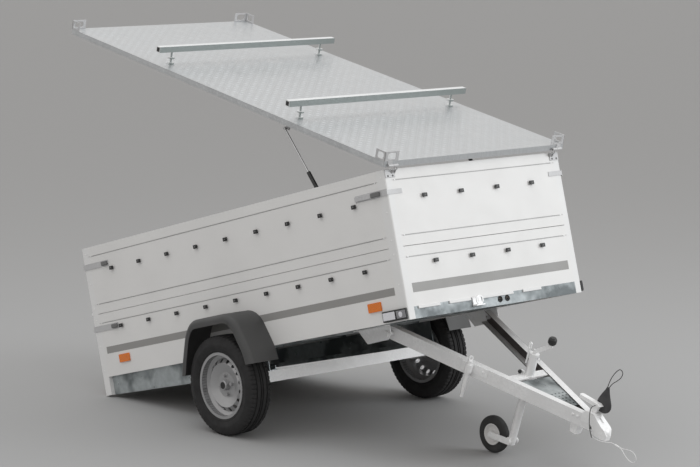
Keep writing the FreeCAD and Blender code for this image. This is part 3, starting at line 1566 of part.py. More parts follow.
def pieces():
    """Every node with its solids and the frame that it is drawn in."""
    yield "floor_panel", floor_panel(), BOX
    yield "chassis_frame", chassis_frame(), BOX
    yield "skirt_rails", skirt_rails(), BOX
    yield "corner_posts", corner_posts(), BOX
    yield "side_lower_left", side_lower(), BOX
    yield "side_lower_right", mirrored(side_lower()), BOX
    yield "side_upper_left", side_upper(), BOX
    yield "side_upper_right", mirrored(side_upper()), BOX
    yield "front_lower", front_lower(), BOX
    yield "front_upper", front_upper(), BOX
    yield "cover_knobs", cover_knobs(), BOX
    yield "side_reflectors", side_reflectors(), BOX
    yield "marker_lamps", marker_lamps(), BOX
    yield "marker_lenses", marker_lenses(), BOX
    yield "rear_lamps", rear_lamps(), BOX
    yield "corner_latches", corner_latches(), BOX
    yield "latch_grips", latch_grips(), BOX
    yield "fender_left", fender(), BOX
    yield "fender_right", mirrored(fender()), BOX
    yield "axle_beam", axle_beam(), BOX
    yield "tilt_brackets", tilt_brackets(), BOX
    yield "tilt_lock", tilt_lock(), BOX
    yield "gate_hinges", gate_hinges(), BOX
    yield "lid_hinges", lid_hinges(), BOX
    yield "strut_mounts", strut_mounts(), BOX
    yield "gate_lower", gate_lower(), BOX
    yield "gate_upper", gate_upper(), BOX
    yield "tyre_left", tyre(), BOX
    yield "rim_left", rim(), BOX
    yield "hub_left", hub(), BOX
    yield "tyre_right", mirrored(tyre()), BOX
    yield "rim_right", mirrored(rim()), BOX
    yield "hub_right", mirrored(hub()), BOX
    yield "lid_panel", lid_panel(), LID
    yield "lid_fittings", lid_fittings(), LID
    yield "roof_bars", roof_bars(), LID
    yield "strut_cylinder_left", strut_cylinder_piece(1), BOX
    yield "strut_cylinder_right", strut_cylinder_piece(-1), BOX
    yield "strut_rod_left", strut_rod_piece(1), BOX
    yield "strut_rod_right", strut_rod_piece(-1), BOX
    yield "beam_left", beam(), DRAWBAR
    yield "beam_right", mirrored(beam()), DRAWBAR
    yield "drawbar_plate", drawbar_plate(), DRAWBAR
    yield "coupling", coupling(), DRAWBAR
    yield "coupling_handle", coupling_handle(), DRAWBAR
    yield "leg_clamps", leg_clamps(), DRAWBAR
    yield "jockey_tube", jockey_tube(), DRAWBAR
    yield "jockey_crank", jockey_crank(), DRAWBAR
    yield "crank_knob", crank_knob(), DRAWBAR
    yield "jockey_inner", jockey_inner(), DRAWBAR
    yield "jockey_fork", jockey_fork(), DRAWBAR
    yield "jockey_tyre", jockey_tyre(), DRAWBAR
    yield "jockey_rim", jockey_rim(), DRAWBAR
    yield "prop_leg", prop_leg(), DRAWBAR
    yield "breakaway_cable", breakaway_cable(), DRAWBAR
    yield "lock_cord", lock_cord(), DRAWBAR
    yield "plug_pouch", plug_pouch(), DRAWBAR


os.makedirs("parts", exist_ok=True)
for name, solids, frame in pieces():
    export(name, solids, frame)
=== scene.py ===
"""A tipping box trailer with an open lid, standing on its rear posts and its jockey wheel.

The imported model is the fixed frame. Everything here is in metres. Pieces are drawn in the level
frame of the box, the lid or the drawbar, and put in place by that frame's matrix.
"""

import itertools
import json
import math

import bmesh
import bpy
from mathutils import Matrix, Vector


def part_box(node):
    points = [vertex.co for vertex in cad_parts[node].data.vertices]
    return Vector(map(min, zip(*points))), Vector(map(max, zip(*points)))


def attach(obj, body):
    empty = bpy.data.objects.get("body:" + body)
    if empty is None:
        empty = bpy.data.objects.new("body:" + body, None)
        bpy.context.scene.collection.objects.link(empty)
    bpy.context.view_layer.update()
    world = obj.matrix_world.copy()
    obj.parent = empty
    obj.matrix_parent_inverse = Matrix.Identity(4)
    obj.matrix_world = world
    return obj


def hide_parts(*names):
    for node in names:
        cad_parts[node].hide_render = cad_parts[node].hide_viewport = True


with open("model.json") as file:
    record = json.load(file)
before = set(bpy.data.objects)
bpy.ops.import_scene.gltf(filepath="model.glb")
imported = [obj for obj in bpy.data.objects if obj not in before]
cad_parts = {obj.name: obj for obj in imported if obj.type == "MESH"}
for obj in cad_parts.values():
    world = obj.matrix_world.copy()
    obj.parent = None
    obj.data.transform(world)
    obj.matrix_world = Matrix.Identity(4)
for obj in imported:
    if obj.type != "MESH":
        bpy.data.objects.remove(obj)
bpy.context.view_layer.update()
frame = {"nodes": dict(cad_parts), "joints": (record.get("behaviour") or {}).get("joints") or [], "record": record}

NODES = frame["nodes"]
JOINTS = {joint["name"]: joint for joint in frame["joints"]}
MOUNTS = {mount["name"]: mount for mount in frame["record"]["mounts"]}


def joint_place(name):
    """Where a joint is."""
    return Vector(JOINTS[name]["pos_m"])


def level_frame(origin, up):
    """The matrix of a frame that leans forward or back: x ahead, y left, z along up."""
    ahead = Vector((up.z, 0, -up.x))
    left = Vector((0, 1, 0))
    turn = Matrix((ahead, left, up)).transposed()
    return Matrix.Translation(origin) @ turn.to_4x4()


AXLE = joint_place("wheel_left_turn")
AXLE.y = 0
BOX_UP = (joint_place("gate_upper_hinge") - joint_place("gate_lower_hinge")).normalized()
BOX = level_frame(AXLE, BOX_UP)
DRAWBAR = level_frame(joint_place("tilt_hinge"), Vector(JOINTS["jockey_lift"]["axis"]))
LID = level_frame(joint_place("lid_hinge"), Vector(MOUNTS["roof_bar_front"]["axis"]))
JOCKEY_HUB = DRAWBAR.inverted() @ joint_place("jockey_wheel_turn")

# Each side's sign and name
SIDES = ((1, "left"), (-1, "right"))


def place_object(name, data):
    """A new object in the scene."""
    thing = bpy.data.objects.new(name, data)
    bpy.context.scene.collection.objects.link(thing)
    return thing


# Camera, from the axle's middle: how far ahead, to the left and above the floor
CAMERA_AHEAD = 9.8373
CAMERA_LEFT = -8.6778
CAMERA_HEIGHT = 2.8137
CAMERA_AZIMUTH = math.radians(48.14)
CAMERA_ELEVATION = math.radians(7.835)
CAMERA_ROLL = math.radians(-0.163)
CAMERA_LENS = 124.49
SENSOR_WIDTH = 36.0


def make_camera():
    """The photograph's view: from ahead and to the right, a little above."""
    data = bpy.data.cameras.new("camera")
    data.lens = CAMERA_LENS
    data.sensor_width = SENSOR_WIDTH
    camera = place_object("camera", data)
    camera.location = (AXLE.x + CAMERA_AHEAD, CAMERA_LEFT, CAMERA_HEIGHT)
    heading = Matrix.Rotation(CAMERA_AZIMUTH, 3, "Z")
    tilt = Matrix.Rotation(math.pi / 2 - CAMERA_ELEVATION, 3, "X")
    roll = Matrix.Rotation(CAMERA_ROLL, 3, "Z")
    camera.rotation_euler = (heading @ tilt @ roll).to_euler()
    bpy.context.scene.camera = camera


make_camera()


# Materials

class Paint:
    """A material being made: its nodes, its main shader, and helpers that add a node and join it."""

    def __init__(self, name, color, **settings):
        self.material = bpy.data.materials.new(name)
        self.material.use_nodes = True
        self.nodes = self.material.node_tree.nodes
        self.links = self.material.node_tree.links
        self.shader = self.nodes["Principled BSDF"]
        self.fill(self.shader, Base_Color=color, **settings)
        coordinates = self.nodes.new("ShaderNodeTexCoord").outputs
        self.place = coordinates["Object"]
        self.facing = coordinates["Normal"]

    def join(self, value, socket):
        """Sets a socket's value, or joins it where the value is a socket too."""
        if isinstance(value, bpy.types.NodeSocket):
            self.links.new(value, socket)
        else:
            socket.default_value = (*value, 1) if socket.type == "RGBA" else value

    def fill(self, node, **inputs):
        """Sets or joins a node's inputs."""
        for name, value in inputs.items():
            self.join(value, node.inputs[name.replace("_", " ")])

    def add(self, kind, **inputs):
        """A new node with its inputs set or joined."""
        node = self.nodes.new(kind)
        self.fill(node, **inputs)
        return node

    def noise(self, scale, detail=2.0, stretch=(1, 1, 1)):
        """Cloudy noise over the object, stretched along its axes."""
        mapping = self.add("ShaderNodeMapping", Vector=self.place, Scale=stretch)
        node = self.add("ShaderNodeTexNoise", Vector=mapping.outputs[0], Scale=scale, Detail=detail)
        return node.outputs["Fac"]

    def cells(self, scale, output="Color"):
        """A cellular pattern: a random level for each cell, or the distance from its middle."""
        return self.add("ShaderNodeTexVoronoi", Vector=self.place, Scale=scale).outputs[output]

    def spread(self, source, low=0.0, high=1.0, low_at=0.3, high_at=0.7):
        """Maps a level from one range to another."""
        node = self.add("ShaderNodeMapRange", Value=source, From_Min=low_at, From_Max=high_at,
                        To_Min=low, To_Max=high)
        return node.outputs["Result"]

    def clouds(self, scale, detail, low=0.0, high=1.0):
        """Noise that fills a range."""
        return self.spread(self.noise(scale, detail), low, high)

    def blend(self, level, first, second):
        """A colour between two, by a level."""
        node = self.nodes.new("ShaderNodeMix")
        node.data_type = "RGBA"
        self.join(level, node.inputs[0])
        self.join(first, node.inputs[6])
        self.join(second, node.inputs[7])
        return node.outputs[2]

    def coat(self, color, rough=None, relief=None, depth=0.0):
        """Joins the shader's colour, roughness and raised surface, with its depth in metres."""
        self.fill(self.shader, Base_Color=color)
        if rough:
            self.fill(self.shader, Roughness=rough)
        if relief:
            node = self.add("ShaderNodeBump", Height=relief, Distance=depth, Strength=1.0)
            self.fill(self.shader, Normal=node.outputs["Normal"])
        return self.material


def shade(color, share):
    """A colour made darker or lighter, with no channel over one."""
    return tuple(min(1.0, share * channel) for channel in color)


def lifted(color, lift):
    """A colour with as much added to each channel."""
    return tuple(channel + lift for channel in color)


def panel_paint(name, color):
    """Satin paint on sheet metal: faint clouding and a fine orange peel."""
    paint = Paint(name, color, Roughness=0.38)
    cloudy = paint.blend(paint.clouds(scale=3.0, detail=4.0), color, shade(color, 0.96))
    return paint.coat(cloudy, rough=paint.clouds(scale=9.0, detail=5.0, low=0.33, high=0.46),
                      relief=paint.noise(scale=420.0, detail=1.0), depth=0.00006)


def zinc_paint(name, color, metallic=0.2, contrast=0.05, inner=None, shade_way=0, shade_axis="Y"):
    """Hot-dip zinc: dull metal with crystal patches and cloudy stains; the faces turned one way may carry a
    painted shade colour.
    """
    paint = Paint(name, color, Metallic=metallic, Roughness=0.42)
    patches = paint.spread(paint.cells(scale=110.0), low_at=0.1, high_at=0.9)
    spangle = paint.blend(patches, shade(color, 1 - contrast), shade(color, 1 + contrast))
    mixed = paint.blend(paint.clouds(scale=6.0, detail=6.0), spangle, shade(color, 1 - 1.5 * contrast))
    # The inner colour is painted shade, laid on the faces that point one way along one axis.
    if inner:
        way = paint.add("ShaderNodeSeparateXYZ", Vector=paint.facing).outputs[shade_axis]
        shade_share = paint.spread(way, low_at=0.35 * shade_way, high_at=0.7 * shade_way)
        mixed = paint.blend(shade_share, mixed, inner)
    return paint.coat(mixed, rough=paint.spread(patches, low=0.34, high=0.5, low_at=0.0, high_at=1.0),
                      relief=paint.noise(scale=160.0, detail=3.0), depth=0.0001)


def blotched_zinc_paint(name, color, dark, metallic=0.8):
    """Zinc on a wide sheet: bright, with large soft dark blotches."""
    paint = Paint(name, color, Metallic=metallic, Roughness=0.34)
    cloudy = paint.blend(paint.clouds(scale=30.0, detail=5.0, high=0.3), color, dark)
    blotch = paint.spread(paint.noise(scale=5.5, detail=3.0), low_at=0.46, high_at=0.62)
    crystals = paint.spread(paint.cells(scale=90.0), low=0.26, high=0.44, low_at=0.0, high_at=1.0)
    return paint.coat(paint.blend(blotch, cloudy, dark), rough=crystals,
                      relief=paint.noise(scale=120.0, detail=3.0), depth=0.0001)


def moulded_paint(name, color, roughness=0.5, grain=700.0, depth=0.00012):
    """Moulded plastic with a fine leathery grain."""
    paint = Paint(name, color, Roughness=roughness)
    dusty = paint.blend(paint.clouds(scale=7.0, detail=5.0, high=0.5), color, lifted(color, 0.025))
    rough = paint.clouds(scale=14.0, detail=4.0, low=roughness - 0.06, high=roughness + 0.08)
    return paint.coat(dusty, rough, relief=paint.noise(scale=grain), depth=depth)


def rubber_paint(name, color, bloom=0.03):
    """Matt rubber with a greyish bloom."""
    paint = Paint(name, color, Roughness=0.82)
    grey = paint.blend(paint.clouds(scale=18.0, detail=6.0, high=0.7), color, lifted(color, bloom))
    return paint.coat(grey, rough=paint.clouds(scale=30.0, detail=4.0, low=0.74, high=0.9),
                      relief=paint.noise(scale=900.0), depth=0.0001)


def wheel_paint(name, color):
    """Silver wheel paint: fine metallic fleck under a thin clear coat."""
    paint = Paint(name, color, Metallic=0.55, Roughness=0.38, Coat_Weight=0.25, Coat_Roughness=0.2)
    fleck = paint.spread(paint.cells(scale=2600.0), low_at=0.0, high_at=1.0)
    return paint.coat(paint.blend(fleck, shade(color, 0.92), color),
                      rough=paint.clouds(scale=22.0, detail=4.0, low=0.28, high=0.42),
                      relief=paint.noise(scale=300.0), depth=0.00004)


def lens_paint(name, color, clear=0.25):
    """A moulded lamp lens with fine prisms under a smooth skin."""
    paint = Paint(name, color, Roughness=0.16, Transmission_Weight=clear, Coat_Weight=0.6)
    prisms = paint.cells(scale=330.0, output="Distance")
    level = paint.spread(prisms, low_at=0.0, high_at=0.8)
    return paint.coat(paint.blend(level, shade(color, 1.25), shade(color, 0.8)), relief=prisms, depth=0.0006)


def tread_plate_paint(name, color):
    """Bright aluminium plate with faint rolling lines."""
    paint = Paint(name, color, Metallic=0.75, Roughness=0.36)
    lines = paint.spread(paint.noise(scale=14.0, detail=5.0, stretch=(1, 14, 1)))
    return paint.coat(paint.blend(lines, color, shade(color, 0.88)),
                      rough=paint.clouds(scale=10.0, detail=4.0, low=0.28, high=0.42),
                      relief=paint.noise(scale=260.0), depth=0.00006)


def steel_paint(name, color):
    """Bright drawn steel, a little uneven in tone and gloss."""
    paint = Paint(name, color, Metallic=1.0, Roughness=0.2)
    return paint.coat(paint.blend(paint.noise(scale=25.0, detail=3.0), color, shade(color, 0.85)),
                      rough=paint.clouds(scale=60.0, detail=5.0, low=0.14, high=0.3))


def board_paint(name, color):
    """Film-faced plywood: dark brown with the film's fine mesh print."""
    paint = Paint(name, color, Roughness=0.55)
    grain = paint.spread(paint.noise(scale=5.0, detail=5.0, stretch=(0.4, 3, 3)))
    return paint.coat(paint.blend(grain, color, shade(color, 0.7)),
                      relief=paint.cells(scale=180.0, output="Distance"), depth=0.0003)


BEAM_ZINC = (0.87, 0.87, 0.87)
# Painted shade: the dark colour of the beams' channel insides, where shade falls
BEAM_PAINTED_SHADE = (0.10, 0.088, 0.085)
# Painted shade: the darker colour of the roof bars' shaded sides
BAR_PAINTED_SHADE = (0.27, 0.30, 0.295)

# Each finish: the function that makes it, its colour, and what else is set
FINISHES = {
    "side_panel": (panel_paint, (0.79, 0.785, 0.775), {}),
    "white_post": (panel_paint, (0.79, 0.79, 0.785), {}),
    "galvanised": (zinc_paint, (0.92, 0.92, 0.92), {"contrast": 0.06}),
    "floor_board": (board_paint, (0.13, 0.09, 0.06), {}),
    "tread_plate": (tread_plate_paint, (0.62, 0.635, 0.645), {}),
    "fender_plastic": (moulded_paint, (0.055, 0.055, 0.055), {}),
    "black_plastic": (moulded_paint, (0.010, 0.010, 0.010), {"roughness": 0.42}),
    "black_rubber": (rubber_paint, (0.022, 0.022, 0.022), {}),
    "tyre_rubber": (rubber_paint, (0.013, 0.0125, 0.013), {"bloom": 0.012}),
    "wheel_silver": (wheel_paint, (0.40, 0.40, 0.405), {}),
    "amber_lens": (lens_paint, (0.80, 0.19, 0.004), {"clear": 0.0}),
    "red_lens": (lens_paint, (0.55, 0.015, 0.012), {}),
    "clear_lens": (lens_paint, (0.90, 0.90, 0.98), {"clear": 0.08}),
    "strut_black": (moulded_paint, (0.02, 0.02, 0.02), {"roughness": 0.25, "grain": 200.0, "depth": 0.00002}),
    "bright_steel": (steel_paint, (0.72, 0.72, 0.73), {}),
    "stripe_grey": (panel_paint, (0.31, 0.305, 0.295), {}),
    "sheet_zinc": (blotched_zinc_paint, (0.52, 0.56, 0.57), {"dark": (0.16, 0.18, 0.185)}),
    "beam_sheet": (blotched_zinc_paint, (0.37, 0.40, 0.41), {"dark": (0.11, 0.125, 0.13), "metallic": 0.35}),
    "strap_zinc": (zinc_paint, (0.56, 0.56, 0.565), {"metallic": 0.1, "contrast": 0.08}),
    # The roof bars get painted shade on their shaded sides
    "bar_zinc": (zinc_paint, (0.78, 0.79, 0.79), {"inner": BAR_PAINTED_SHADE, "shade_way": 1, "shade_axis": "X"}),
    # Both beams get painted shade on their channel insides
    "left_beam_zinc": (zinc_paint, BEAM_ZINC, {"contrast": 0.06, "inner": BEAM_PAINTED_SHADE, "shade_way": -1}),
    "right_beam_zinc": (zinc_paint, BEAM_ZINC, {"contrast": 0.06, "inner": BEAM_PAINTED_SHADE, "shade_way": 1}),
    # Painted shade for the lines in the pressed grooves
    "line_grey": (panel_paint, (0.38, 0.38, 0.38), {}),
    "cable_steel": (zinc_paint, (0.86, 0.86, 0.86), {}),
    "stud_grey": (moulded_paint, (0.15, 0.15, 0.15), {}),
    "smoky_lens": (lens_paint, (0.34, 0.34, 0.36), {}),
    "pouch_cloth": (rubber_paint, (0.045, 0.045, 0.047), {}),
    "rim_white": (panel_paint, (0.72, 0.71, 0.70), {}),
}
MATERIALS = {name: make(name, color, **more) for name, (make, color, more) in FINISHES.items()}

# CAD nodes with a finish of their own
NODE_PAINT = {
    "chassis_frame": "beam_sheet", "roof_bars": "bar_zinc", "drawbar_plate": "sheet_zinc",
    "skirt_rails": "sheet_zinc", "beam_left": "left_beam_zinc", "beam_right": "right_beam_zinc",
    "corner_latches": "strap_zinc",
}


def paint_nodes():
    """Every CAD node gets the material of its slot, or its own."""
    for part in frame["record"]["subparts"]:
        data = NODES[part["node"]].data
        data.materials.clear()
        data.materials.append(MATERIALS[NODE_PAINT.get(part["node"], part["material_slot"])])


paint_nodes()


# Shapes

BAR_END_STEPS = 10
HOLE_STEPS = 8
HOLE_POWER = 4
SHARP = math.radians(32)


def arc(radius, first, last, steps):
    """The points of an arc between two angles."""
    angles = [first + (last - first) * step / steps for step in range(steps + 1)]
    return [(radius * math.cos(angle), radius * math.sin(angle)) for angle in angles]


class Shape:
    """Points and faces being gathered for one piece."""

    def __init__(self):
        self.points = []
        self.faces = []

    def add(self, points, faces):
        first = len(self.points)
        self.points.extend(tuple(point) for point in points)
        self.faces.extend([first + corner for corner in face] for face in faces)

    def block(self, first, second):
        """A box between two opposite corners."""
        spans = [sorted(pair) for pair in zip(first, second)]
        self.add(itertools.product(*spans),
                 [(0, 1, 3, 2), (4, 6, 7, 5), (0, 4, 5, 1), (2, 3, 7, 6), (0, 2, 6, 4), (1, 5, 7, 3)])

    def grid(self, rows, ring_rows=False, ring_points=True, capped=True):
        """Faces between rows of points; where only one way makes a ring, its two ends are capped."""
        count = len(rows[0])
        last = (len(rows) - 1) * count
        faces = []
        for row in range(len(rows) if ring_rows else len(rows) - 1):
            here = row * count
            there = (row + 1) % len(rows) * count
            for index in range(count if ring_points else count - 1):
                on = (index + 1) % count
                faces.append((here + index, here + on, there + on, there + index))
        if capped and not ring_points:
            faces += [range(0, last + 1, count)[::-1], range(count - 1, last + count, count)]
        elif capped and not ring_rows:
            faces += [range(count)[::-1], range(last, last + count)]
        self.add(itertools.chain(*rows), faces)

    def lathe(self, profile, steps, place, way=(0, 1, 0), dent=None, ring=False):
        """A profile of (radius, along) points turned about an axis; dent makes the radius less."""
        axis = Vector(way).normalized()
        side = axis.orthogonal().normalized()
        other = axis.cross(side)
        rows = []
        for step in range(steps):
            angle = 2 * math.pi * step / steps
            out = side * math.cos(angle) + other * math.sin(angle)
            row = []
            for radius, along in profile:
                change = dent(step, along) if dent else 0
                row.append(Vector(place) + axis * along + out * (radius - change))
            rows.append(row)
        self.grid(rows, ring_rows=True, ring_points=ring)

    def rod(self, radius, length, steps, place, way=(0, 1, 0)):
        """A plain rod from a place; with few steps, a nut."""
        self.lathe([(radius, 0), (radius, length)], steps, place, way)

    def slab(self, outline, near, far):
        """A flat outline of (x, z) places, made thick across y."""
        self.grid([[(x, y, z) for x, z in outline] for y in sorted((near, far))])

    def bar(self, start, end, half, near, far):
        """A flat bar with round ends between two (x, z) places, made thick across y."""
        along = Vector(end) - Vector(start)
        lean = math.atan2(along.y, along.x)
        outline = []
        for (ahead, up), first in ((end, lean - math.pi / 2), (start, lean + math.pi / 2)):
            outline += [(ahead + x, up + y) for x, y in arc(half, first, first + math.pi, BAR_END_STEPS)]
        self.slab(outline, near, far)

    def holed_plate(self, corner, along, width, height, thick, hole_shares):
        """An upright plate from its lower corner, with a rounded square hole in its middle."""
        along = Vector(along)
        up = Vector((0, 0, 1))
        middle = Vector(corner) + along * width / 2 + up * height / 2
        square = [Matrix.Rotation(turn * math.pi / 2, 2) @ Vector((1, 2 * step / HOLE_STEPS - 1))
                  for turn in range(4) for step in range(HOLE_STEPS)]
        rings = []
        for level in (0, thick):
            foot = middle + along.cross(up) * level
            edge = []
            rim = []
            for spot in square:
                across = along * (width / 2 * spot.x)
                rise = up * (height / 2 * spot.y)
                reach = (spot.x ** HOLE_POWER + spot.y ** HOLE_POWER) ** (1 / HOLE_POWER)
                edge.append(foot + across + rise)
                rim.append(foot + across * (hole_shares[0] / reach) + rise * (hole_shares[1] / reach))
            rings += [edge, rim]
        edge, rim, far_edge, far_rim = rings
        self.grid([rim, edge, far_edge, far_rim, rim], capped=False)


def piece(name, shape, slot_name, body, matrix=None, bevel=0.0, steps=2, replaces=None, smooth=0):
    """A piece of the scene from a shape: in place, painted, and riding on a body."""
    place = matrix or Matrix()
    mesh = bpy.data.meshes.new(name)
    mesh.from_pydata([place @ Vector(point) for point in shape.points], [], shape.faces)
    mesh.validate()
    made = bmesh.new()
    made.from_mesh(mesh)
    bmesh.ops.recalc_face_normals(made, faces=made.faces)
    made.to_mesh(mesh)
    made.free()
    mesh.shade_smooth()
    mesh.set_sharp_from_angle(angle=SHARP)
    mesh.materials.append(MATERIALS[slot_name])
    thing = place_object(name, mesh)
    if bevel:
        edge = thing.modifiers.new("bevel", "BEVEL")
        edge.width = bevel
        edge.segments = steps
        edge.limit_method = "ANGLE"
        edge.harden_normals = True
    if smooth:
        rounding = thing.modifiers.new("smooth", "SUBSURF")
        rounding.levels = smooth
        rounding.render_levels = smooth
    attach(thing, body)
    if replaces:
        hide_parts(replaces)
    return thing


# The profiles of a round head, a crimped ferrule and a hollow cap, as shares of radius and height
DOME = [(1, 0), (1, 0.4), (0.8, 0.8), (0.4, 1)]
FERRULE = [(0.7, 0), (1, 0.12), (1, 0.45), (0.86, 0.5), (1, 0.55), (1, 0.88), (0.9, 1)]
CAP = [(1, 0), (1, 1), (0.8, 0.5)]

# The radius and height of each
# The hub's black cap is painted shade in its bore
HUB_BORE_SHADE = (0.019, 0.0012)
KNOB_STUD = (0.0045, 0.0015)
SCREW = (0.0045, 0.0016)
HINGE_BOLT = (0.0055, 0.003)
BEAM_BOLT = (0.0085, 0.006)


def scaled(profile, radius, height):
    """A profile of shares at its real size."""
    return [(radius * radius_share, height * height_share) for radius_share, height_share in profile]


def mirrored(half):
    """A ring's section from one half of it, with the other half as its mirror image."""
    return half + [(radius, -along) for radius, along in reversed(half)]


# Cords, in the drawbar's own frame, as in the solids

BREAKAWAY_DIAMETER = 0.0032
BREAKAWAY = [(1.160, -0.004, -0.046), (1.160, -0.022, -0.046), (1.172, -0.036, -0.046),
             (1.200, -0.041, -0.045), (1.232, -0.034, -0.042), (1.256, -0.014, -0.038),
             (1.270, 0, -0.034), (1.290, 0, -0.034)]
LOOP = [(1.318, 0, -0.032), (1.340, 0, -0.032), (1.366, 0, -0.022), (1.398, 0, -0.013), (1.422, 0, -0.019),
        (1.438, 0, -0.036), (1.434, 0, -0.058), (1.414, 0, -0.068), (1.386, 0, -0.064), (1.360, 0, -0.052),
        (1.340, 0, -0.036), (1.318, 0, -0.036)]
CORD_DIAMETER = 0.004
LOCK_CORD = [(1.122, -0.015, 0.098), (1.122, -0.046, 0.098), (1.126, -0.046, 0.060), (1.138, -0.046, 0.014),
             (1.156, -0.047, -0.020), (1.178, -0.048, -0.046)]
POUCH_LOOP = [(1.132, 0.029, 0.200), (1.134, 0.029, 0.226), (1.142, 0.029, 0.262), (1.158, 0.029, 0.296),
              (1.176, 0.029, 0.320), (1.200, 0.029, 0.312), (1.198, 0.029, 0.284), (1.178, 0.029, 0.254),
              (1.152, 0.029, 0.226), (1.142, 0.029, 0.200)]
FERRULE_RADIUS = 0.0045
POINT_RADIUS = 0.004


def cord_length(cord):
    """The length of the cord's own smooth line."""
    depth = cord.data.bevel_depth
    cord.data.bevel_depth = 0
    bpy.context.view_layer.update()
    line = bpy.data.meshes.new_from_object(cord.evaluated_get(bpy.context.evaluated_depsgraph_get()))
    cord.data.bevel_depth = depth
    places = [vertex.co.copy() for vertex in line.vertices]
    bpy.data.meshes.remove(line)
    return sum((on - here).length for here, on in zip(places, places[1:]))


def free_cord(name, points, diameter, slot_name):
    """A cord on the drawbar, on one smooth line that follows its route's points."""
    curve = bpy.data.curves.new(name, "CURVE")
    curve.dimensions = "3D"
    curve.bevel_depth = diameter / 2 / POINT_RADIUS
    curve.bevel_resolution = 4
    curve.use_fill_caps = True
    line = curve.splines.new("NURBS")
    line.points.add(len(points) - 1)
    for spot, point in zip(line.points, points):
        spot.co = (*(DRAWBAR @ Vector(point)), 1)
        spot.radius = POINT_RADIUS
    line.order_u = 3
    line.use_endpoint_u = True
    line.resolution_u = 12
    curve.materials.append(MATERIALS[slot_name])
    cord = place_object(name, curve)
    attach(cord, "drawbar")
    cord_length(cord)
    return cord


def make_breakaway():
    """The steel safety cable with its ferrule, and the loop that it ends in."""
    shape = Shape()
    start = Vector(BREAKAWAY[-1])
    shape.lathe(scaled(FERRULE, FERRULE_RADIUS, LOOP[0][0] - start.x), 24, start, (1, 0, 0))
    ferrule = piece("breakaway_ferrule", shape, "cable_steel", "drawbar", DRAWBAR)
    lead = free_cord("breakaway_lead", BREAKAWAY, BREAKAWAY_DIAMETER, "cable_steel")
    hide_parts("breakaway_cable")
    free_cord("breakaway_loop", LOOP, BREAKAWAY_DIAMETER, "cable_steel")


def make_lock_cord():
    """The black cord that hangs from the coupling's handle."""
    cord = free_cord("lock_string", LOCK_CORD, CORD_DIAMETER, "black_rubber")
    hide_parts("lock_cord")


# The pouch: rear, front, half width and height of each level
POUCH = [(1.108, 1.148, 0.007, 0.0605), (1.098, 1.162, 0.0105, 0.065), (1.090, 1.182, 0.013, 0.080),
         (1.0885, 1.191, 0.0143, 0.100), (1.094, 1.186, 0.0135, 0.122), (1.104, 1.170, 0.0115, 0.146),
         (1.116, 1.157, 0.009, 0.170), (1.125, 1.149, 0.0068, 0.186), (1.127, 1.147, 0.0062, 0.196),
         (1.130, 1.144, 0.004, 0.200)]
POUCH_LEFT = 0.029
POUCH_STEPS = 28
POUCH_FOLDS = 5
POUCH_FOLD_SHARE = 0.07
POUCH_TWIST = 60


def pouch_level(rear, front, half, height):
    """One level of the pouch: an oval with soft folds that wander round it."""
    level = []
    for step in range(POUCH_STEPS):
        angle = 2 * math.pi * step / POUCH_STEPS
        fold = 1 - POUCH_FOLD_SHARE * math.cos(POUCH_FOLDS * angle + POUCH_TWIST * height) ** 2
        level.append(((rear + front) / 2 + (front - rear) / 2 * math.cos(angle) * fold,
                      POUCH_LEFT + half * math.sin(angle) * fold, height))
    return level


def make_pouch():
    """The soft pouch with the plug in it, gathered at its neck, and its string's loop."""
    shape = Shape()
    shape.grid([pouch_level(*level) for level in POUCH])
    piece("pouch", shape, "pouch_cloth", "drawbar", DRAWBAR, smooth=1, replaces="plug_pouch")
    free_cord("pouch_string", POUCH_LOOP, CORD_DIAMETER, "black_rubber")


make_breakaway()
make_lock_cord()
make_pouch()


# Wheels

TYRE_RADIUS = 0.268
GROOVE_DEPTH = 0.007
GROOVE_FLOOR = TYRE_RADIUS - GROOVE_DEPTH
LUG_STEPS = 4
LUG_COUNT = 66
SHOULDER_GROOVE = (0.036, 0.064)
SHOULDER_DEPTH_SHARE = 0.75
MIDDLE_GROOVE = (0.012, 0.030)
MIDDLE_DEPTH_SHARE = 0.35

# Half of the section, as (radius, along), from its seat on the rim to the middle of the tread
TYRE_SECTION = [(0.1665, 0.0595), (0.177, 0.0595), (0.180, 0.0615), (0.186, 0.0655), (0.1875, 0.0672),
                (0.1895, 0.0672), (0.191, 0.0662), (0.203, 0.0715), (0.216, 0.0742), (0.2195, 0.0748),
                (0.2215, 0.0748), (0.225, 0.0738), (0.238, 0.0712), (0.250, 0.0672), (0.258, 0.0632),
                (0.2625, 0.0612), (0.2655, 0.0575), (0.2665, 0.052), (0.267, 0.0385),
                (GROOVE_FLOOR, 0.0375), (GROOVE_FLOOR, 0.0305), (0.2675, 0.0295), (TYRE_RADIUS, 0.0105),
                (GROOVE_FLOOR, 0.0095), (GROOVE_FLOOR, 0.0035), (TYRE_RADIUS, 0.0025)]


def tread_dent(step, along):
    """The cross grooves of the tread, which are half a lug apart on its two sides."""
    phase = 1 if along > 0 else LUG_STEPS - 1
    part_of_lug = (step + phase) % LUG_STEPS
    every_other = step % (2 * LUG_STEPS) < LUG_STEPS
    if SHOULDER_GROOVE[0] < abs(along) < SHOULDER_GROOVE[1] and part_of_lug == 0:
        return GROOVE_DEPTH * SHOULDER_DEPTH_SHARE
    if MIDDLE_GROOVE[0] < abs(along) < MIDDLE_GROOVE[1] and part_of_lug == LUG_STEPS // 2 and every_other:
        return GROOVE_DEPTH * MIDDLE_DEPTH_SHARE
    return 0


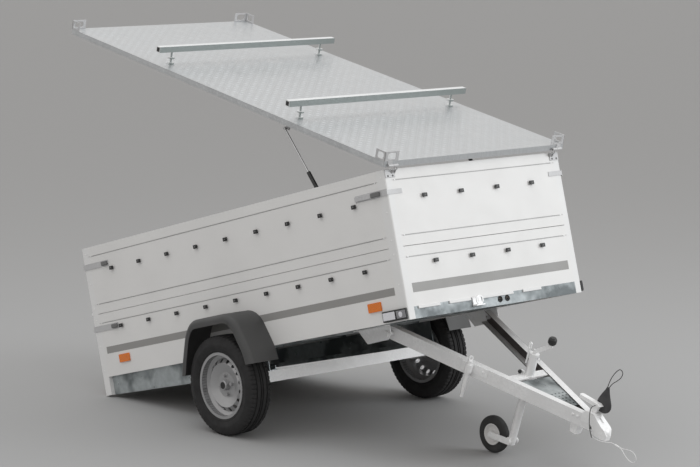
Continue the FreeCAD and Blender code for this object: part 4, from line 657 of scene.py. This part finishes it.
def make_tyres():
    """Both road tyres, with ribs on their sides and a blocky tread."""
    for _, name in SIDES:
        shape = Shape()
        centre = BOX.inverted() @ joint_place(f"wheel_{name}_turn")
        shape.lathe(mirrored(TYRE_SECTION), LUG_STEPS * LUG_COUNT, centre, dent=tread_dent, ring=True)
        piece("road_tyre_" + name, shape, "tyre_rubber", "wheel_" + name, BOX, replaces="tyre_" + name)


def make_hub_bore_shades():
    """A black cap in the middle of each road wheel's hub: painted shade for the shaded inside of its bore."""
    for side, name in SIDES:
        shape = Shape()
        place = joint_place(f"wheel_{name}_turn")
        low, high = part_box("hub_" + name)
        place.y = high[1] if side > 0 else low[1]
        shape.lathe(scaled(CAP, *HUB_BORE_SHADE), 32, place, (0, side, 0))
        piece("hub_bore_shade_" + name, shape, "black_plastic", "wheel_" + name)


# Half of the jockey wheel's tyre, as (radius, along)
JOCKEY_INNER = 0.056
JOCKEY_TYRE = [(JOCKEY_INNER, 0.0175), (0.058, 0.0185), (0.082, 0.020), (0.090, 0.0182), (0.0945, 0.014),
               (0.0965, 0.008), (0.097, 0.0012)]


def make_jockey_tyre():
    """The jockey wheel's solid tyre, with rounded shoulders and a moulding line."""
    shape = Shape()
    shape.lathe(mirrored(JOCKEY_TYRE), 96, JOCKEY_HUB, ring=True)
    piece("jockey_tread", shape, "black_rubber", "jockey_wheel", DRAWBAR, replaces="jockey_tyre")


make_tyres()
make_hub_bore_shades()
make_jockey_tyre()


# The box: knob centres, stripes, painted shade lines in the grooves, screws and front trim, in the box's level
# frame

FRONT = 1.370
REAR = -1.280
HALF_WIDTH = 0.625
TOP = 0.912
POST_LEG = 0.060
POST_END = 0.045
KNOB_ROWS = (0.766, 0.435)
KNOB_FRONT = 0.255
KNOB_REAR = 0.271
KNOB_COUNT = 9
END_KNOBS = (-0.384, -0.128, 0.128, 0.384)
KNOB_STANDS = 0.0133


def knob_places():
    """Every knob's place on its face, and the way that it points."""
    pitch = (FRONT - REAR - KNOB_FRONT - KNOB_REAR) / (KNOB_COUNT - 1)
    places = []
    for height in KNOB_ROWS:
        for index in range(KNOB_COUNT):
            ahead = FRONT - KNOB_FRONT - index * pitch
            for side in (-1, 1):
                places.append(((ahead, side * (HALF_WIDTH + KNOB_STANDS), height), (0, side, 0)))
        for left in END_KNOBS:
            places.append(((FRONT + KNOB_STANDS, left, height), (1, 0, 0)))
    return places


def make_knob_centres():
    """The lighter stud in the middle of each knob."""
    shape = Shape()
    for place, way in knob_places():
        shape.lathe(scaled(DOME, *KNOB_STUD), 16, place, way)
    piece("knob_studs", shape, "stud_grey", "box", BOX)


# Stripes and the painted shade lines in the grooves are this thick; each stripe's ends come first, then its lower
# and upper edge
STRIPE_THICK = 0.0003
SIDE_STRIPE = (-1.195, 1.300, 0.292, 0.331)
FRONT_STRIPE = (-0.567, 0.556, 0.291, 0.338)
GROOVES = (0.857, 0.579, 0.469)
# The height of the painted shade line in each groove
GROOVE_SHADE_HEIGHT = 0.0027
GROOVE_END = 0.012


def side_strips(shape, rear, front, low, high):
    """A thin strip on each side wall."""
    for side in (-1, 1):
        shape.block((rear, side * HALF_WIDTH, low), (front, side * (HALF_WIDTH + STRIPE_THICK), high))


def front_strip(shape, right, left, low, high):
    """A thin strip on the front wall."""
    shape.block((FRONT, right, low), (FRONT + STRIPE_THICK, left, high))


def make_stripes():
    """The painted grey stripes on both sides and the front."""
    shape = Shape()
    side_strips(shape, *SIDE_STRIPE)
    front_strip(shape, *FRONT_STRIPE)
    piece("stripes", shape, "stripe_grey", "box", BOX)


def make_groove_shades():
    """A line of painted shade along each pressed groove."""
    shape = Shape()
    reach = HALF_WIDTH - POST_END - GROOVE_END
    for height in GROOVES:
        low = height - GROOVE_SHADE_HEIGHT / 2
        high = height + GROOVE_SHADE_HEIGHT / 2
        side_strips(shape, REAR + POST_LEG + GROOVE_END, FRONT - POST_LEG - GROOVE_END, low, high)
        front_strip(shape, -reach, reach, low, high)
    piece("groove_shades", shape, "line_grey", "box", BOX)


SIDE_SCREW_IN = 0.020
FRONT_SCREW_IN = 0.018
POST_SCREW_IN = 0.030
POST_SCREWS = (0.875, 0.700, 0.560, 0.490, 0.340, 0.200)


def make_screws():
    """Small screw heads by the ends of the pressed lines and down the posts."""
    shape = Shape()
    profile = scaled(DOME, *SCREW)
    for heights, inset in ((GROOVES, POST_LEG + SIDE_SCREW_IN), (POST_SCREWS, POST_SCREW_IN)):
        for height in heights:
            for side in (-1, 1):
                for ahead in (REAR + inset, FRONT - inset):
                    shape.lathe(profile, 14, (ahead, side * HALF_WIDTH, height), (0, side, 0))
    for height in GROOVES:
        for side in (-1, 1):
            left = side * (HALF_WIDTH - POST_END - FRONT_SCREW_IN)
            shape.lathe(profile, 14, (FRONT, left, height), (1, 0, 0))
    piece("screws", shape, "galvanised", "box", BOX)


# The lip under the front board: its lengths from right to left, its height, and how far it stands out
LIP_SPANS = ((-0.553, -0.405), (-0.340, -0.190), (-0.110, 0.115), (0.187, 0.321))
LIP_HEIGHT = (0.2085, 0.2235)
LIP_OUT = (0.0004, 0.0075)
LIP_BEVEL = 0.0015
CABLE_HOLES = (0.018, 0.070)
CABLE_HOLE_HEIGHT = 0.1915
RING_SECTION = [(0.0105, 0.0), (0.0105, 0.003), (0.0125, 0.0042), (0.0155, 0.003), (0.0165, 0.0)]


def make_front_trim():
    """The bright lip under the front board, in lengths, and the rings of the cable holes."""
    lip = Shape()
    for right, left in LIP_SPANS:
        lip.block((FRONT + LIP_OUT[0], right, LIP_HEIGHT[0]), (FRONT + LIP_OUT[1], left, LIP_HEIGHT[1]))
    piece("front_lip", lip, "white_post", "box", BOX, bevel=LIP_BEVEL)
    rings = Shape()
    for left in CABLE_HOLES:
        rings.lathe(RING_SECTION, 36, (FRONT, left, CABLE_HOLE_HEIGHT), (1, 0, 0), ring=True)
    piece("cable_rings", rings, "black_rubber", "box", BOX)


# The marker lamps, on the sides and flush with the front, in the box's level frame

LAMP_BACK = 0.177
LAMP_MIDDLE = 0.195
LAMP_HALF = 0.0275
LAMP_OUT = 0.016
LENS_BORDER = 0.008
LENS_OUT = 0.003
LENS_BEVEL = 0.0027
LENS_SPLIT = 0.074
LENS_BAR = 0.006
SMOKY_BORDER = 0.002
REFLECTOR_RADIUS = 0.014


def make_marker_lamps():
    """A black frame on each side with an oblong lens and a smoky one that ends at the corner."""
    frames = Shape()
    lenses = Shape()
    smoky = Shape()
    bowls = Shape()
    low = LAMP_MIDDLE - LAMP_HALF
    high = LAMP_MIDDLE + LAMP_HALF
    lens_low = low + LENS_BORDER
    lens_high = high - LENS_BORDER
    rear = FRONT - LAMP_BACK
    split = FRONT - LENS_SPLIT
    for side in (-1, 1):
        face = side * (HALF_WIDTH + LAMP_OUT)
        skin = face + side * LENS_OUT
        frames.block((rear, side * HALF_WIDTH, low), (FRONT, face, high))
        lenses.block((rear + LENS_BORDER, face, lens_low), (split - LENS_BAR, skin, lens_high))
        smoky.block((split + LENS_BAR, face, lens_low), (FRONT - SMOKY_BORDER, skin, lens_high))
        place = (FRONT - LENS_SPLIT / 2, skin, LAMP_MIDDLE)
        bowls.lathe(scaled(DOME, REFLECTOR_RADIUS, LENS_OUT / 2), 28, place, (0, side, 0))
    piece("lamp_frames", frames, "black_plastic", "box", BOX, bevel=LAMP_OUT / 4, replaces="marker_lamps")
    piece("lamp_lenses", lenses, "clear_lens", "box", BOX, bevel=LENS_BEVEL, replaces="marker_lenses")
    piece("smoky_lenses", smoky, "smoky_lens", "box", BOX, bevel=LENS_BEVEL)
    piece("lamp_bowls", bowls, "clear_lens", "box", BOX)


# The latch grips

STRAP_OUT = 0.0036
STRAP_LENGTH = 0.238
GRIP_LENGTH = 0.052
GRIP_HALF = 0.012
GRIP_OUT = 0.014
REAR_GRIPS = (0.800, 0.440)
FRONT_GRIP = 0.800
FRONT_GRIP_SPAN = (0.048, 0.112)


def make_latch_grips():
    """Dark grips: at the ends of the rear straps, and near the corner on the front ones."""
    dark = Shape()
    light = Shape()
    start, end = FRONT_GRIP_SPAN
    for side in (-1, 1):
        near = side * (HALF_WIDTH + STRAP_OUT)
        far = near + side * GRIP_OUT
        for height in REAR_GRIPS:
            dark.block((REAR + STRAP_LENGTH - GRIP_LENGTH, near, height - GRIP_HALF),
                       (REAR + STRAP_LENGTH, far, height + GRIP_HALF))
        dark.block((FRONT - end, near, FRONT_GRIP - GRIP_HALF), (FRONT - start, far, FRONT_GRIP + GRIP_HALF))
        light.block((FRONT - STRAP_LENGTH, near, FRONT_GRIP - GRIP_HALF),
                    (FRONT - end, near + side * GRIP_OUT / 2, FRONT_GRIP + GRIP_HALF))
    piece("dark_grips", dark, "stud_grey", "box", BOX, bevel=GRIP_OUT / 3, steps=3, replaces="latch_grips")
    piece("latch_levers", light, "strap_zinc", "box", BOX, bevel=GRIP_OUT / 8)


# The fenders: the arch from its front foot to its rear foot, ahead of the axle and up

FENDER_ARCH = [(0.318, 0.086), (0.306, 0.160), (0.236, 0.322), (0.165, 0.371),
               (-0.150, 0.371), (-0.212, 0.312), (-0.285, 0.150), (-0.305, 0.086)]
FENDER_ROUND = 0.085
FENDER_OUT = 0.812
FENDER_SHOULDER = 0.030
FENDER_LIP = 0.048
FENDER_WALL = 0.004
FENDER_GAP = 0.0003
ROUND_STEPS = 8


def rounded_line(points, reach):
    """The points of a line whose corners are rounded, each as far back as reach allows."""
    line = [Vector(points[0])]
    for before, corner, after in zip(points, points[1:], points[2:]):
        corner = Vector(corner)
        back = Vector(before) - corner
        on = Vector(after) - corner
        span = min(reach, back.length / 2, on.length / 2)
        start = corner + back.normalized() * span
        end = corner + on.normalized() * span
        for step in range(ROUND_STEPS + 1):
            part = step / ROUND_STEPS
            line.append(start * (1 - part) ** 2 + corner * (2 * part * (1 - part)) + end * part ** 2)
    line.append(Vector(points[-1]))
    return line


def fender_section():
    """The fender's section: how far out, and how far in from the arch."""
    lines = []
    for inset in (0, FENDER_WALL):
        radius = FENDER_SHOULDER - inset
        shoulder = [(FENDER_OUT - FENDER_SHOULDER + out, FENDER_SHOULDER + depth)
                    for out, depth in arc(radius, -math.pi / 2, 0, ROUND_STEPS)]
        lines.append([(HALF_WIDTH + FENDER_GAP, inset), *shoulder, (FENDER_OUT - inset, FENDER_LIP)])
    outer, inner = lines
    return outer + inner[::-1]


def fender_rows(side):
    """The section at each point of the arch, square to it but level at the two feet."""
    arch = rounded_line(FENDER_ARCH, FENDER_ROUND)
    section = fender_section()
    last = len(arch) - 1
    rows = []
    for index, spot in enumerate(arch):
        way = (arch[min(index + 1, last)] - arch[max(index - 1, 0)]).normalized()
        inward = Vector((-way.y, way.x))
        if index in (0, last):
            inward = Vector((-1 if index == 0 else 1, 0))
        rows.append([(spot.x + inward.x * depth, side * out, spot.y + inward.y * depth)
                     for out, depth in section])
    return rows


def make_fenders():
    """Both fenders: a moulded arch with a round shoulder and a lip round the opening."""
    for side, name in SIDES:
        shape = Shape()
        shape.grid(fender_rows(side))
        piece("moulded_fender_" + name, shape, "fender_plastic", "box", BOX, replaces="fender_" + name)


make_knob_centres()
make_stripes()
make_groove_shades()
make_screws()
make_front_trim()
make_marker_lamps()
make_latch_grips()
make_fenders()


# The lid's tread pattern and bar plugs, in the lid's closed frame

LID_REAR = -2.691
LID_FRONT = -0.009
LID_HALF = 0.640
LID_TOP = 0.021
LID_MARGIN = 0.014
LID_EDGE_MIDDLE = 0.005
BAR_PITCH = 0.030
BAR_LENGTH = 0.024
BAR_WIDTH = 0.006
BAR_RISE = 0.0010
BAR_SIDE_SHARE = 0.2
BAR_CREST_SHARE = 0.26
DIAGONAL = math.sqrt(0.5)
PLUG_INSET = 0.0045
PLUG_OUT = 0.0005


def tread_bar(shape, foot, along, across):
    """One raised bar of the pattern: long, low and pointed at its ends."""
    out = along.cross(across)
    points = [foot + along * (sign * BAR_LENGTH / 2) for sign in (-1, 1)]
    points += [foot + along * (BAR_SIDE_SHARE * BAR_LENGTH * sign) + across * (BAR_WIDTH / 2 * edge)
               for sign in (-1, 1) for edge in (-1, 1)]
    points += [foot + along * (BAR_CREST_SHARE * BAR_LENGTH * sign) + out * BAR_RISE for sign in (-1, 1)]
    shape.add(points, [(0, 2, 6), (0, 6, 3), (1, 7, 4), (1, 5, 7), (2, 4, 7, 6), (3, 6, 7, 5)])


def make_tread_plate():
    """The lid's pattern of bars, which lean one way and then the other, also down its sides."""
    shape = Shape()
    rows = int((LID_FRONT - LID_REAR - 2 * LID_MARGIN) / BAR_PITCH)
    columns = int(2 * (LID_HALF - LID_MARGIN) / BAR_PITCH)
    for row in range(rows + 1):
        ahead = LID_REAR + LID_MARGIN + (row + 0.5) * BAR_PITCH
        for column in range(columns + 1):
            lean = DIAGONAL if (row + column) % 2 else -DIAGONAL
            left = LID_MARGIN - LID_HALF + (column + 0.5) * BAR_PITCH
            tread_bar(shape, Vector((ahead, left, LID_TOP)),
                      Vector((DIAGONAL, lean, 0)), Vector((-lean, DIAGONAL, 0)))
        lean = DIAGONAL if row % 2 else -DIAGONAL
        for side in (-1, 1):
            tread_bar(shape, Vector((ahead, side * LID_HALF, LID_EDGE_MIDDLE)),
                      Vector((DIAGONAL, 0, lean)), -side * Vector((-lean, 0, DIAGONAL)))
    piece("tread_pattern", shape, "tread_plate", "lid", LID)


def make_bar_plugs():
    """The black plugs in the ends of the roof bars."""
    shape = Shape()
    to_lid = LID.inverted()
    spots = [to_lid @ vertex.co for vertex in NODES["roof_bars"].data.vertices]
    for side in (-1, 1):
        reach = max(side * spot.y for spot in spots)
        ends = [spot for spot in spots if side * spot.y > reach - PLUG_OUT]
        middle = sum(spot.x for spot in ends) / len(ends)
        rear = [spot for spot in ends if spot.x < middle]
        front = [spot for spot in ends if spot.x > middle]
        for bar in (rear, front):
            ahead = sorted(spot.x for spot in bar)
            up = sorted(spot.z for spot in bar)
            shape.block((ahead[0] + PLUG_INSET, side * reach, up[0] + PLUG_INSET),
                        (ahead[-1] - PLUG_INSET, side * (reach + PLUG_OUT), up[-1] - PLUG_INSET))
    piece("bar_plugs", shape, "black_plastic", "lid", LID)


# The lid's brackets and hinges: the hinge's axis is the origin of the lid's frame

BRACKET_SIDE = 0.072
BRACKET_END = 0.092
BRACKET_HEIGHT = 0.050
BRACKET_WALL = 0.004
BRACKET_HOLE_SHARES = (0.60, 0.66)
SHEET_BEVEL = 0.0008
HINGE_OUTER = 0.620
HINGE_INNER = 0.556
HINGE_MIDDLE = (HINGE_INNER + HINGE_OUTER) / 2
HINGE_RADIUS = 0.008
HINGE_LEAF = 0.004
HINGE_DROP = 0.042
STRUT_HEAD = (-0.843, -0.0488)
STRUT_PLATE_HALF = 0.040
STRUT_PLATE_SET = 0.003
STRUT_EYE = 0.009
STRUT_PLATE_OUT = (0.552, 0.557)


def add_corner_brackets(shape, side):
    """The front and the rear corner bracket of one side: two plates with square holes each."""
    for corner, toward in ((LID_FRONT, -1), (LID_REAR, 1)):
        start = min(corner, corner + toward * BRACKET_SIDE)
        shape.holed_plate((start, side * LID_HALF, LID_TOP), (1, 0, 0), BRACKET_SIDE, BRACKET_HEIGHT,
                          side * BRACKET_WALL, BRACKET_HOLE_SHARES)
        first = min(side * LID_HALF, side * (LID_HALF - BRACKET_END))
        shape.holed_plate((corner, first, LID_TOP), (0, 1, 0), BRACKET_END, BRACKET_HEIGHT,
                          toward * BRACKET_WALL, BRACKET_HOLE_SHARES)


def add_hinge_half(shape, side):
    """The lid's half of a hinge: an upright leaf, a flat one and half of the barrel."""
    inner, outer = sorted((side * HINGE_MIDDLE, side * HINGE_OUTER))
    shape.block((LID_FRONT, inner, 0), (LID_FRONT + HINGE_LEAF, outer, LID_TOP))
    shape.block((LID_FRONT, inner, HINGE_RADIUS - HINGE_LEAF), (0, outer, HINGE_RADIUS))
    shape.rod(HINGE_RADIUS, outer - inner, 24, (0, inner, 0))


def add_strut_plate(shape, side):
    """The plate under the lid that carries a gas strut's stud."""
    ahead, rise = STRUT_HEAD
    top = LID_TOP - STRUT_PLATE_SET
    outline = [(ahead - STRUT_PLATE_HALF, top), (ahead + STRUT_PLATE_HALF, top),
               (ahead + STRUT_EYE, rise - STRUT_EYE), (ahead - STRUT_EYE, rise - STRUT_EYE)]
    near, far = STRUT_PLATE_OUT
    shape.slab(outline, side * near, side * far)


def make_lid_brackets():
    """The lid's corner brackets, its hinge halves and its strut plates."""
    shape = Shape()
    for side in (-1, 1):
        add_corner_brackets(shape, side)
        add_hinge_half(shape, side)
        add_strut_plate(shape, side)
    piece("lid_brackets", shape, "strap_zinc", "lid", LID, bevel=SHEET_BEVEL, replaces="lid_fittings")


LID_AXIS_AHEAD = 0.036
LID_AXIS_RISE = 0.012
KNEE_BACK = 0.0096
KNEE_DROP = 0.006
RIB_DROP = 0.028
ARM_HALF = 0.0028
HINGE_BOLT_DROP = 0.0336
HINGE_BOLT_SHARES = (0.25, 0.75)


def make_lid_hinges():
    """The fixed hinge halves on the front posts: a bolted leaf, two arms on ribs and half of the barrel."""
    shape = Shape()
    bolts = Shape()
    axis = (FRONT + LID_AXIS_AHEAD, TOP + LID_AXIS_RISE)
    knee = (axis[0] - KNEE_BACK, TOP - KNEE_DROP)
    rib = [(FRONT, TOP - RIB_DROP), knee, (FRONT, knee[1])]
    for side in (-1, 1):
        inner = side * HINGE_INNER
        outer = side * HINGE_OUTER
        middle = side * HINGE_MIDDLE
        shape.block((FRONT, inner, TOP - HINGE_DROP), (FRONT + HINGE_LEAF, outer, TOP - HINGE_LEAF / 2))
        for near in (inner, (inner + middle) / 2):
            far = near + side * HINGE_LEAF
            shape.slab(rib, near, far)
            shape.bar(knee, axis, ARM_HALF, near, far)
        near, far = sorted((inner, middle - side * HINGE_LEAF / 4))
        shape.rod(HINGE_RADIUS, far - near, 24, (axis[0], near, axis[1]))
        for share in HINGE_BOLT_SHARES:
            left = inner + (outer - inner) * share
            place = (FRONT + HINGE_LEAF, left, TOP - HINGE_BOLT_DROP)
            bolts.lathe(scaled(DOME, *HINGE_BOLT), 6, place, (1, 0, 0))
    piece("hinge_leaves", shape, "strap_zinc", "box", BOX, bevel=SHEET_BEVEL, replaces="lid_hinges")
    piece("hinge_bolts", bolts, "stud_grey", "box", BOX)


make_tread_plate()
make_bar_plugs()
make_lid_brackets()
make_lid_hinges()


# The drawbar: small fittings, in its own frame

TUBE_AHEAD = 0.655
BALL_RADIUS = 0.0106
BALL_POLE = 0.0002
BALL_PLACE = (0.622, -0.037, 0.0413)
BALL_STEPS = 12
RING_RADIUS = 0.009
RING_WIRE = 0.0012
RING_STEPS = 10
RING_AHEAD = 0.0355
RING_HEIGHT = 0.138

# The beams' outer faces: how far out they start, and how they close in ahead
BEAM_FOOT = 0.357
BEAM_SLOPE = 0.2968
BEAM_BOLTS = (1.030, 1.056)
BEAM_BOLT_RISE = 0.010


def make_clamp_ball():
    """The clamp's black ball."""
    shape = Shape()
    half = arc(BALL_RADIUS, -math.pi / 2, math.pi / 2, BALL_STEPS)
    profile = [(max(out, BALL_POLE), along) for out, along in half]
    shape.lathe(profile, 24, BALL_PLACE, (0, 0, 1))
    piece("clamp_ball", shape, "black_plastic", "drawbar", DRAWBAR)


def make_spring_ring():
    """The small ring by the jockey wheel's tube."""
    shape = Shape()
    wire = [(RING_RADIUS + out, along) for out, along in arc(RING_WIRE, 0, 2 * math.pi, RING_STEPS)[:-1]]
    shape.lathe(wire, 28, (TUBE_AHEAD + RING_AHEAD, 0, RING_HEIGHT), ring=True)
    piece("spring_ring", shape, "bright_steel", "drawbar", DRAWBAR)


def make_beam_bolts():
    """Bolt heads on the beams, near the coupling."""
    shape = Shape()
    for ahead in BEAM_BOLTS:
        outer = BEAM_FOOT - BEAM_SLOPE * ahead
        for side in (-1, 1):
            place = (ahead, side * outer, BEAM_BOLT_RISE)
            shape.lathe(scaled(DOME, *BEAM_BOLT), 6, place, (BEAM_SLOPE, side, 0))
    piece("beam_bolts", shape, "galvanised", "drawbar", DRAWBAR)


# The jockey wheel's crank, fork and rim, in the drawbar's frame

CRANK_FOOT = 0.1543
CRANK_END = (0.746, 0.236)
CRANK_HALF = 0.011
CRANK_THICK = 0.004
CRANK_COLLAR = 0.0096
CRANK_SPINDLE = 0.006
CRANK_SPINDLE_TOP = 0.280
CRANK_BEVEL = 0.001
FORK_HALF = 0.017
FORK_INNER = 0.026
FORK_PLATE = 0.006
FORK_RISE = 0.024
FORK_FOOT_RADIUS = 0.020
FORK_TOP = 0.040
FORK_BOLT = 0.008
FORK_BEVEL = 0.0015
NUT_RADIUS = 0.014
NUT_THICK = 0.007


def make_crank():
    """The crank: a flat bar between its collar on the tube and the handle's spindle."""
    shape = Shape()
    shape.bar((TUBE_AHEAD, CRANK_FOOT + CRANK_HALF), CRANK_END, CRANK_HALF, -CRANK_THICK, CRANK_THICK)
    shape.rod(CRANK_COLLAR, 2 * CRANK_HALF, 24, (TUBE_AHEAD, 0, CRANK_FOOT), (0, 0, 1))
    ahead, up = CRANK_END
    shape.rod(CRANK_SPINDLE, CRANK_SPINDLE_TOP - up, 20, (ahead, 0, up), (0, 0, 1))
    piece("crank_bar", shape, "galvanised", "drawbar", DRAWBAR, bevel=CRANK_BEVEL, replaces="jockey_crank")


def make_fork():
    """The swivelling fork: its sloping arms, their bridge, its foot, and the wheel's bolt and nuts."""
    shape = Shape()
    hub = JOCKEY_HUB
    root = hub.z + FORK_RISE
    for side in (-1, 1):
        near = side * FORK_INNER
        far = near + side * FORK_PLATE
        shape.bar((hub.x, hub.z), (TUBE_AHEAD, root), FORK_HALF, near, far)
        shape.rod(NUT_RADIUS, NUT_THICK, 6, (hub.x, far, hub.z), (0, side, 0))
    shape.rod(FORK_BOLT, 2 * FORK_INNER, 20, (hub.x, -FORK_INNER, hub.z))
    shape.block((TUBE_AHEAD - FORK_HALF, -FORK_INNER, root - FORK_HALF / 2),
                (TUBE_AHEAD + FORK_HALF / 2, FORK_INNER, root + FORK_HALF))
    shape.rod(FORK_FOOT_RADIUS, FORK_TOP - FORK_RISE + FORK_HALF, 32,
              (TUBE_AHEAD, 0, root - FORK_HALF), (0, 0, 1))
    piece("swivel_fork", shape, "galvanised", "jockey_swivel", DRAWBAR, bevel=FORK_BEVEL,
          replaces="jockey_fork")


# Half of the jockey wheel's rim, as (radius, along)
JOCKEY_GAP = 0.0002
JOCKEY_RIM = [(0.0085, 0.020), (0.017, 0.020), (0.019, 0.011), (0.027, 0.0065), (0.039, 0.0075),
              (0.0455, 0.013), (0.0485, 0.0205), (0.053, 0.0215), (JOCKEY_INNER - JOCKEY_GAP, 0.0185)]


def make_jockey_rim():
    """The jockey wheel's pressed rim."""
    shape = Shape()
    shape.lathe(mirrored(JOCKEY_RIM), 72, JOCKEY_HUB, ring=True)
    piece("pressed_rim", shape, "rim_white", "jockey_wheel", DRAWBAR, replaces="jockey_rim")


make_clamp_ball()
make_spring_ring()
make_beam_bolts()
make_crank()
make_fork()
make_jockey_rim()


# Floor, backdrop and light

FLOOR_COLOR = (0.375, 0.375, 0.375)
FLOOR_SIZE = 400.0
BACKDROP_COLOR = (0.337, 0.332, 0.328)
SURROUND_COLOR = (1.0, 0.985, 0.97)
SURROUND_STRENGTH = 0.78
LAMP_COLOR = (0.93, 0.97, 1.0)

# Each lamp: its place, what it looks at, its size and its power
LAMPS = {
    "key": ((6.5, 4.5, 4.5), (0.4, 0, 0.8), 5.0, 262.0),
    "top": ((-1.0, -1.0, 6.5), (0, 0, 0.6), 6.0, 100.0),
}


def make_floor():
    """A plain pale floor that runs on to the horizon."""
    mesh = bpy.data.meshes.new("floor")
    half = FLOOR_SIZE / 2
    corners = [(-half, -half, 0), (half, -half, 0), (half, half, 0), (-half, half, 0)]
    mesh.from_pydata(corners, [], [(0, 1, 2, 3)])
    mesh.materials.append(Paint("floor", FLOOR_COLOR, Roughness=0.9).material)
    place_object("floor", mesh)


def make_surround():
    """A pale even world that lights the object; the camera sees the backdrop's grey instead."""
    world = bpy.data.worlds.new("surround")
    bpy.context.scene.world = world
    world.use_nodes = True
    nodes = world.node_tree.nodes
    links = world.node_tree.links
    surround = nodes["Background"]
    surround.inputs["Color"].default_value = (*SURROUND_COLOR, 1)
    surround.inputs["Strength"].default_value = SURROUND_STRENGTH
    seen = nodes.new("ShaderNodeBackground")
    seen.inputs["Color"].default_value = (*BACKDROP_COLOR, 1)
    ray = nodes.new("ShaderNodeLightPath")
    mix = nodes.new("ShaderNodeMixShader")
    links.new(ray.outputs["Is Camera Ray"], mix.inputs[0])
    links.new(surround.outputs[0], mix.inputs[1])
    links.new(seen.outputs[0], mix.inputs[2])
    links.new(mix.outputs[0], nodes["World Output"].inputs["Surface"])


def make_lamps():
    """Soft square lamps: a broad key from ahead and left, and one from the top."""
    for name, (place, target, size, power) in LAMPS.items():
        data = bpy.data.lights.new(name, "AREA")
        data.size = size
        data.energy = power
        data.color = LAMP_COLOR
        lamp = place_object(name, data)
        lamp.location = place
        lamp.rotation_euler = (Vector(target) - Vector(place)).to_track_quat("-Z", "Y").to_euler()


make_floor()
make_surround()
make_lamps()
bpy.context.scene.view_settings.view_transform = "Standard"
